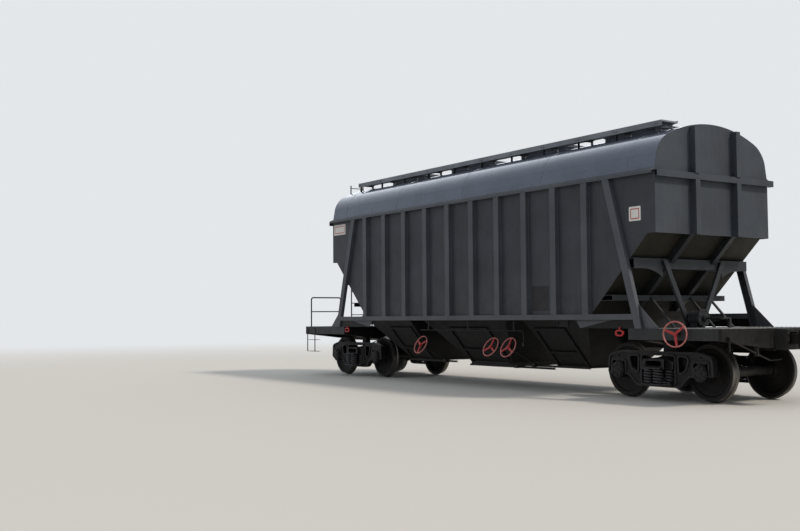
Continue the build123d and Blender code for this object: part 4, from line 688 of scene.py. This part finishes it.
def harvest(name, points, grower, sizes, body, facings=None, edges=()):
    """Runs a tree on a carrier of points and edges and returns the plain piece, riding on its body."""
    tree, identifiers = grower
    carrier_mesh = bpy.data.meshes.new(name + "_carrier")
    carrier_mesh.from_pydata([tuple(p) for p in points], list(edges), [])
    facing = carrier_mesh.attributes.new("facing", "FLOAT_VECTOR", "POINT")
    for index, value in enumerate(facings or []):
        facing.data[index].vector = value
    carrier = bpy.data.objects.new(name + "_carrier", carrier_mesh)
    bpy.context.scene.collection.objects.link(carrier)
    modifier = carrier.modifiers.new("grow", "NODES")
    modifier.node_group = tree
    for size, value in sizes.items():
        modifier[identifiers[size]] = float(value)
    graph = bpy.context.evaluated_depsgraph_get()
    mesh = bpy.data.meshes.new_from_object(carrier.evaluated_get(graph))
    carrier.modifiers.remove(modifier)
    bpy.data.objects.remove(carrier)
    piece = bpy.data.objects.new(name, mesh)
    bpy.context.scene.collection.objects.link(piece)
    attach(piece, body)
    print(name, len(points), "points,", len(mesh.polygons), "faces")
    return piece


# %% [markdown]
# ## Coil springs
# A freight bogie stands on nests of springs: a thick outer coil with a thinner one inside it. A coil
# is a helix with a round wire swept along it, which the Spiral Curve node gives directly. The CAD
# model only holds the space of each nest, as a plain bar. Seven nests stand in each side frame, in
# rows of two, three and two.

# %% Spring tree
COIL_STEPS_A_TURN = 18
WIRE_SIDES = 8


def sweep(tree, line, sides, radius):
    """A round bar with closed ends, swept along a curve."""
    section = add(tree, "GeometryNodeCurvePrimitiveCircle", {"Resolution": sides, "Radius": radius})
    return add(tree, "GeometryNodeCurveToMesh", {"Curve": line, "Profile Curve": section.outputs[0],
                                                 "Fill Caps": True}).outputs[0]


def spring_tree(material):
    """A nest of two coils, wound opposite ways, on every point."""
    sizes = ("Height", "Outer Radius", "Inner Radius", "Outer Wire", "Inner Wire", "Outer Turns",
             "Inner Turns")
    tree, given, identifiers = new_tree("coil_spring", sizes)
    inputs = given.outputs
    nest = add(tree, "GeometryNodeJoinGeometry")
    for coil, reverse in (("Outer", False), ("Inner", True)):
        radius = inputs[f"{coil} Radius"]
        helix = add(tree, "GeometryNodeCurveSpiral", {"Resolution": COIL_STEPS_A_TURN,
                                                      "Rotations": inputs[f"{coil} Turns"],
                                                      "Start Radius": radius, "End Radius": radius,
                                                      "Height": inputs["Height"], "Reverse": reverse})
        tree.links.new(sweep(tree, helix.outputs[0], WIRE_SIDES, inputs[f"{coil} Wire"]), nest.inputs[0])
    smooth = add(tree, "GeometryNodeSetShadeSmooth", {"Geometry": nest.outputs[0]})
    turn = add(tree, "FunctionNodeRandomValue", {"Min": (0, 0, 0), "Max": (0, 0, 2 * pi), "Seed": 7},
               data_type="FLOAT_VECTOR")
    placed = add(tree, "GeometryNodeInstanceOnPoints", {"Points": inputs["Geometry"],
                                                        "Instance": smooth.outputs[0],
                                                        "Rotation": turn.outputs[0]})
    end_tree(tree, placed.outputs[0], material)
    return tree, identifiers


# %% Springs on both bogies
SPRING_PITCH = 210 * MM
SPRING_ROW = 165 * MM
JOURNAL_Y = 1018 * MM
WIRE_RADIUS = 17 * MM
INNER_WIRE_RADIUS = 9.5 * MM
INNER_COIL_SHARE = 0.6
OUTER_TURNS = 4.6
INNER_TURNS = 7.5
SPRING_PLACES = ((-0.5, -1), (0.5, -1), (-1, 0), (0, 0), (1, 0), (-0.5, 1), (0.5, 1))
spring_grower = spring_tree(spring_paint)
for bogie in ("front", "rear"):
    low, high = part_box(f"{bogie}_bogie_springs")
    middle_x = (low.x + high.x) / 2
    outer_radius = (high.x - low.x) / 2 - SPRING_PITCH - WIRE_RADIUS
    foot_z = low.z + WIRE_RADIUS
    points = []
    for side in (-1, 1):
        for step, row in SPRING_PLACES:
            points.append((middle_x + step * SPRING_PITCH, side * JOURNAL_Y + row * SPRING_ROW, foot_z))
    sizes = {"Height": high.z - low.z - 2 * WIRE_RADIUS, "Outer Radius": outer_radius,
             "Inner Radius": outer_radius * INNER_COIL_SHARE, "Outer Wire": WIRE_RADIUS,
             "Inner Wire": INNER_WIRE_RADIUS, "Outer Turns": OUTER_TURNS, "Inner Turns": INNER_TURNS}
    springs = harvest(f"{bogie}_bogie_coils", points, spring_grower, sizes, f"{bogie}_bogie")
    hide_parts(f"{bogie}_bogie_springs")

# %% [markdown]
# ## Hexagon bolts
# Covers, plates and gear cases are bolted on. A bolt head is a six-sided prism on a thin washer.
# The carrier's points carry the way each bolt faces, and the tree turns the head to it.

# %% Bolt tree
def bolt_tree(material):
    """A hexagon head on a washer, turned to face the way that each point gives."""
    tree, given, identifiers = new_tree("hex_bolt", ("Size",))
    size = given.outputs["Size"]
    head = add(tree, "GeometryNodeMeshCylinder", {"Vertices": 6, "Radius": times(tree, size, 0.58),
                                                  "Depth": times(tree, size, 0.64)})
    lift = add(tree, "ShaderNodeCombineXYZ", {"Z": times(tree, size, 0.44)})
    lifted = add(tree, "GeometryNodeTransform", {"Geometry": head.outputs[0], "Translation": lift.outputs[0]})
    washer = add(tree, "GeometryNodeMeshCylinder", {"Vertices": 16, "Radius": times(tree, size, 0.95),
                                                    "Depth": times(tree, size, 0.24)})
    bolt = add(tree, "GeometryNodeJoinGeometry")
    tree.links.new(lifted.outputs[0], bolt.inputs[0])
    tree.links.new(washer.outputs[0], bolt.inputs[0])
    facing = add(tree, "GeometryNodeInputNamedAttribute", {"Name": "facing"}, data_type="FLOAT_VECTOR")
    turned = add(tree, "FunctionNodeAlignRotationToVector", {"Vector": facing.outputs[0]}, axis="Z")
    placed = add(tree, "GeometryNodeInstanceOnPoints", {"Points": given.outputs["Geometry"],
                                                        "Instance": bolt.outputs[0],
                                                        "Rotation": turned.outputs[0]})
    end_tree(tree, placed.outputs[0], material)
    return tree, identifiers


def bolt_circle(centre, radius, count, facing, start):
    """Places round a circle about a centre, in the plane across an axis along X or Y."""
    places = []
    for number in range(count):
        angle = radians(start + 360 * number / count)
        sideways = radius * cos(angle)
        across = Vector((0, sideways, 0)) if facing[0] else Vector((sideways, 0, 0))
        places.append(Vector(centre) + across + Vector((0, 0, radius * sin(angle))))
    return places


bolt_grower = bolt_tree(bolt_steel)

# %% Bolts on the bogies
AXLE_Z = 506.5 * MM
BOX_FACE_Y = JOURNAL_Y + 108 * MM
COVER_BOLT_RADIUS = 98 * MM
COVER_BOLTS = 6
COVER_BOLT_SIZE = 26 * MM
for bogie in ("front", "rear"):
    points = []
    facings = []
    for wheelset in ("outer", "inner"):
        low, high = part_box(f"{bogie}_{wheelset}_wheelset")
        axle_x = (low.x + high.x) / 2
        for side in (-1, 1):
            centre = (axle_x, side * BOX_FACE_Y, AXLE_Z)
            points += bolt_circle(centre, COVER_BOLT_RADIUS, COVER_BOLTS, (0, side, 0), 30)
            facings += [(0, side, 0)] * COVER_BOLTS
    harvest(f"{bogie}_bogie_bolts", points, bolt_grower, {"Size": COVER_BOLT_SIZE}, f"{bogie}_bogie",
            facings)

# %% [markdown]
# ## Bolts on the body
# The brake cylinder's cover, the striker castings, the gear cases, the parking brake's plate and the
# outer edges of the walkways are bolted. Each group is a short list of places on a face, made by loops
# over its rows and columns.

# %% Bolts on the wagon's body
points = []
facings = []


def bolt_on(places, facing):
    """Adds bolts at these places, all facing one way."""
    points.extend(places)
    facings.extend([facing] * len(places))


CYLINDER_COVER = Vector((5.240, -0.130, 1.420))
CYLINDER_BOLT_RADIUS = 135 * MM
bolt_on(bolt_circle(CYLINDER_COVER, CYLINDER_BOLT_RADIUS, 8, (1, 0, 0), 22.5), (1, 0, 0))
STRIKER_FACE_X = 6.945
STRIKER_ROWS_Z = (0.945, 1.055, 1.165)
STRIKER_BOLT_Y = 0.150
for end in (-1, 1):
    for y in (-STRIKER_BOLT_Y, STRIKER_BOLT_Y):
        bolt_on([(end * STRIKER_FACE_X, y, z) for z in STRIKER_ROWS_Z], (end, 0, 0))


def four_corners(x, y, z, half_x, half_z):
    """The corners of an upright rectangle about a point."""
    return [(x + step_x, y, z + step_z) for step_x in (-half_x, half_x) for step_z in (-half_z, half_z)]


CASE_FACE_Y = -0.850
CASES_Z = (0.501, 0.455, 0.501)
for x, z in zip(GATE_WHEEL_X, CASES_Z):
    bolt_on(four_corners(x, CASE_FACE_Y, z, 30 * MM, 28 * MM), (0, -1, 0))
PARKING_PLATE_Y = PARKING_FOOT.y - 14 * MM
bolt_on(four_corners(PARKING_FOOT.x, PARKING_PLATE_Y, PARKING_FOOT.z, 28 * MM, 32 * MM), (0, -1, 0))
BODY_BOLT_SIZE = 20 * MM
harvest("body_bolts", points, bolt_grower, {"Size": BODY_BOLT_SIZE}, "wagon", facings)

# %% Bolts on the walkways
BRACKETS = 11
FIRST_BRACKET_X = -5.130
BRACKET_PITCH = 1.000
FASCIA_BOLT_Z = 4.868
FASCIA_BOLT_STEP = 30 * MM
FASCIA_BOLT_SIZE = 18 * MM
fascia_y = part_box("roof_walkways")[1].y
points = []
facings = []
for number in range(BRACKETS):
    x = FIRST_BRACKET_X + number * BRACKET_PITCH
    pair_x = (x - FASCIA_BOLT_STEP, x + FASCIA_BOLT_STEP)
    for side in (-1, 1):
        bolt_on([(bolt_x, side * fascia_y, FASCIA_BOLT_Z) for bolt_x in pair_x], (0, side, 0))
harvest("walkway_bolts", points, bolt_tree(walkway_paint), {"Size": FASCIA_BOLT_SIZE}, "wagon",
        facings)

# %% [markdown]
# ## Weld beads
# Posts are welded to the walls along both their edges, and the roof sheets are butt-welded across the
# arch. A bead is a thin half-round line of metal under the paint. The carrier holds its line as
# edges, which become a curve, and a small circle is swept along it. A roof bead follows the sheet's
# real surface, found by casting rays from outside towards the arch's centre.

# %% Bead tree
def bead_tree(material):
    """A round bead swept along every line of the carrier."""
    tree, given, identifiers = new_tree("weld_bead", ("Radius",))
    line = add(tree, "GeometryNodeMeshToCurve", {"Mesh": given.outputs["Geometry"]})
    bead = sweep(tree, line.outputs[0], WIRE_SIDES, given.outputs["Radius"])
    smooth = add(tree, "GeometryNodeSetShadeSmooth", {"Geometry": bead})
    end_tree(tree, smooth.outputs[0], material)
    return tree, identifiers


# %% Beads along the posts
POST_WIDTH = 150 * MM
POSTS_A_SIDE = 10
SILL_TOP_Z = 1.500
CHORD_BOTTOM_Z = 3.880
POST_BEAD_RADIUS = 6 * MM
POST_BEAD_STEP = POST_WIDTH / 2 + 2 * MM
WALL_END_X = 5.400
SLOPE_TOP_Z = 3.060
last_post_x = WALL_END_X - (SLOPE_TOP_Z - SILL_TOP_Z) - POST_WIDTH / 2 - 3 * MM
posts_x = [last_post_x * (2 * number / (POSTS_A_SIDE - 1) - 1) for number in range(POSTS_A_SIDE)]
points = []
for side in (1, -1):
    for x in posts_x:
        for step in (-POST_BEAD_STEP, POST_BEAD_STEP):
            points += [(x + step, side * wall_y, SILL_TOP_Z), (x + step, side * wall_y, CHORD_BOTTOM_Z)]
edges = [(i, i + 1) for i in range(0, len(points), 2)]
harvest("post_weld_beads", points, bead_tree(post_paint_with_painted_light), {"Radius": POST_BEAD_RADIUS}, "wagon",
        edges=edges)

# %% Beads across the roof
ARCH_CENTRE_Z = 3.930
SEAM_STEPS = 40
SEAM_FROM = 3
SEAM_TO = 177
SEAMS_X = (-4.75, -2.50, 0.0, 2.50, 4.75)
ROOF_BEAD_RADIUS = 5 * MM
OUTSIDE_ROOF = 3.0
roof_surfaces = []
for name in ("right_roof_sheet", "left_roof_sheet", "roof_crest_panels"):
    copy = bmesh.new()
    copy.from_mesh(nodes[name].data)
    roof_surfaces.append(BVHTree.FromBMesh(copy))
    copy.free()
points = []
edges = []
for x in SEAMS_X:
    line_start = len(points)
    for step in range(SEAM_STEPS + 1):
        angle = radians(SEAM_FROM + (SEAM_TO - SEAM_FROM) * step / SEAM_STEPS)
        outward = Vector((0, -cos(angle), sin(angle)))
        start = Vector((x, 0, ARCH_CENTRE_Z)) + outward * OUTSIDE_ROOF
        hits = [surface.ray_cast(start, -outward) for surface in roof_surfaces]
        reached = [hit for hit in hits if hit[0] is not None]
        if reached:
            points.append(min(reached, key=lambda hit: hit[3])[0])
    edges += [(i, i + 1) for i in range(line_start, len(points) - 1)]
harvest("roof_weld_beads", points, bead_tree(roof_paint_with_painted_sky_tint), {"Radius": ROOF_BEAD_RADIUS}, "wagon",
        edges=edges)

# %% [markdown]
# ## Blank plates on the side
# Two small enamelled plates are fixed to the right wall, white with a thin red line round a white
# field. They are left blank. A plate is a thin rounded sheet with a raised red line, shaped as rings.

# %% Plate finishes and shape
plate_white = enamel("plate_white_enamel", "c2bfba", "cfcdc8", roughness=0.35, dust_top=5.0, dust_share=0.2,
                     streaks=0.2, waves_mm=0.2, edge_share=0.0)
plate_red = enamel("plate_red_enamel", "a2403a", "b04d45", roughness=0.35, dust_top=5.0, dust_share=0.2,
                   streaks=0.2, waves_mm=0.2, edge_share=0.0)


def rounded_outline(x0, x1, z0, z1, radius, steps=5):
    """Points round a rectangle with rounded corners."""
    points = []
    for corner_x, corner_z, start in ((x1, z1, 0), (x0, z1, 90), (x0, z0, 180), (x1, z0, 270)):
        centre_x = corner_x - radius if corner_x == x1 else corner_x + radius
        centre_z = corner_z - radius if corner_z == z1 else corner_z + radius
        for step in range(steps + 1):
            angle = radians(start + 90 * step / steps)
            points.append((centre_x + radius * cos(angle), centre_z + radius * sin(angle)))
    return points


PLATE_THICKNESS = 3 * MM
LINE_HEIGHT = 1.4 * PLATE_THICKNESS
PLATE_CORNER = 18 * MM


def plate(name, x0, x1, z0, z1, margin, line):
    """A blank plate on the right wall: a white margin, a raised red line and a white field."""
    inner = margin + line
    insets = ((0, 0, 0), (0, PLATE_THICKNESS, 0), (margin, PLATE_THICKNESS, 1), (margin, LINE_HEIGHT, 1),
              (inner, LINE_HEIGHT, 0), (inner, PLATE_THICKNESS, 0))
    mesh = bmesh.new()
    loops = []
    for inset, depth, finish in insets:
        ring = rounded_outline(x0 + inset, x1 - inset, z0 + inset, z1 - inset, PLATE_CORNER - inset * 0.2)
        loops.append([mesh.verts.new((x, wall_y - depth, z)) for x, z in ring])
    for number, (first, second) in enumerate(zip(loops, loops[1:])):
        for i in range(len(first)):
            j = (i + 1) % len(first)
            face = mesh.faces.new((first[i], first[j], second[j], second[i]))
            face.material_index = insets[number][2]
    mesh.faces.new(loops[-1])
    mesh.faces.new(list(reversed(loops[0])))
    bmesh.ops.recalc_face_normals(mesh, faces=mesh.faces)
    data = bpy.data.meshes.new(name)
    mesh.to_mesh(data)
    mesh.free()
    data.materials.append(plate_white)
    data.materials.append(plate_red)
    piece = bpy.data.objects.new(name, data)
    bpy.context.scene.collection.objects.link(piece)
    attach(piece, "wagon")
    return piece


# %% Plates on the right side
plate("front_plate", x0=4.80, x1=5.07, z0=3.10, z1=3.35, margin=34 * MM, line=16 * MM)
plate("rear_plate", x0=-5.34, x1=-4.78, z0=3.56, z1=3.82, margin=40 * MM, line=18 * MM)
print("plates on the wall at y", round(wall_y, 3))

# %% [markdown]
# ## Tread studs
# The plates of the roof walkways and of the end platforms are pressed with rows of small raised
# teardrops that stop a boot from slipping. Each is a low pyramid, set in staggered rows.

# %% Stud tree
def stud_tree(material):
    """A low long pyramid on every point."""
    tree, given, identifiers = new_tree("tread_stud", ("Length", "Width", "Height"))
    cone = add(tree, "GeometryNodeMeshCone", {"Vertices": 6, "Radius Top": 0.18, "Radius Bottom": 0.5,
                                              "Depth": 1.0})
    scale = add(tree, "ShaderNodeCombineXYZ", {"X": given.outputs["Length"], "Y": given.outputs["Width"],
                                               "Z": given.outputs["Height"]})
    placed = add(tree, "GeometryNodeInstanceOnPoints", {"Points": given.outputs["Geometry"],
                                                        "Instance": cone.outputs[0],
                                                        "Scale": scale.outputs[0]})
    end_tree(tree, placed.outputs[0], material)
    return tree, identifiers


def stud_rows(x0, x1, y0, y1, z, pitch_x, pitch_y):
    """Staggered places over a rectangle."""
    places = []
    for row in range(int((y1 - y0) / pitch_y) + 1):
        for column in range(int((x1 - x0) / pitch_x)):
            places.append((x0 + (column + 0.5 * (row % 2)) * pitch_x, y0 + row * pitch_y, z))
    return places


# %% Studs on the walkways
STUD_SIZES = {"Length": 46 * MM, "Width": 16 * MM, "Height": 3.5 * MM}
BOARD_INNER_Y = 430 * MM
BOARD_OUTER_Y = 850 * MM
BOARD_TOP_Z = 4.920
BOARD_PITCH = (75 * MM, 48 * MM)
low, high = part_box("roof_walkways")
board = stud_rows(low.x + 60 * MM, high.x - 60 * MM, BOARD_INNER_Y + 45 * MM, BOARD_OUTER_Y - 40 * MM,
                  BOARD_TOP_Z, *BOARD_PITCH)
points = board + [(x, -y, z) for x, y, z in board]
harvest("walkway_studs", points, stud_tree(walkway_paint), STUD_SIZES, "wagon")

# %% Studs on the end platforms
DECK_TOP_Z = 1.250
DECK_LENGTH = 1.90
DECK_END_MARGIN = 50 * MM
DECK_SIDE_MARGIN = 60 * MM
DECK_PITCH = (90 * MM, 62 * MM)
low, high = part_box("platform_decks")
y0 = low.y + DECK_SIDE_MARGIN
y1 = high.y - DECK_SIDE_MARGIN
points = []
for start in (low.x + DECK_END_MARGIN, high.x - DECK_LENGTH):
    end = start + DECK_LENGTH - DECK_END_MARGIN
    points += stud_rows(start, end, y0, y1, DECK_TOP_Z, *DECK_PITCH)
harvest("deck_studs", points, stud_tree(deck_paint), STUD_SIZES, "wagon")

# %% [markdown]
# ## Measuring the whole
# What is bolted and welded on must not make the wagon bigger than its CAD model, so the box round all
# the visible pieces is measured again and kept beside the first one.

# %% Measure and finish
visual_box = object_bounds()
sizes = {"cad": [list(corner) for corner in cad_box], "visual": [list(corner) for corner in visual_box]}
print("CAD box", cad_box, "visual box", visual_box)
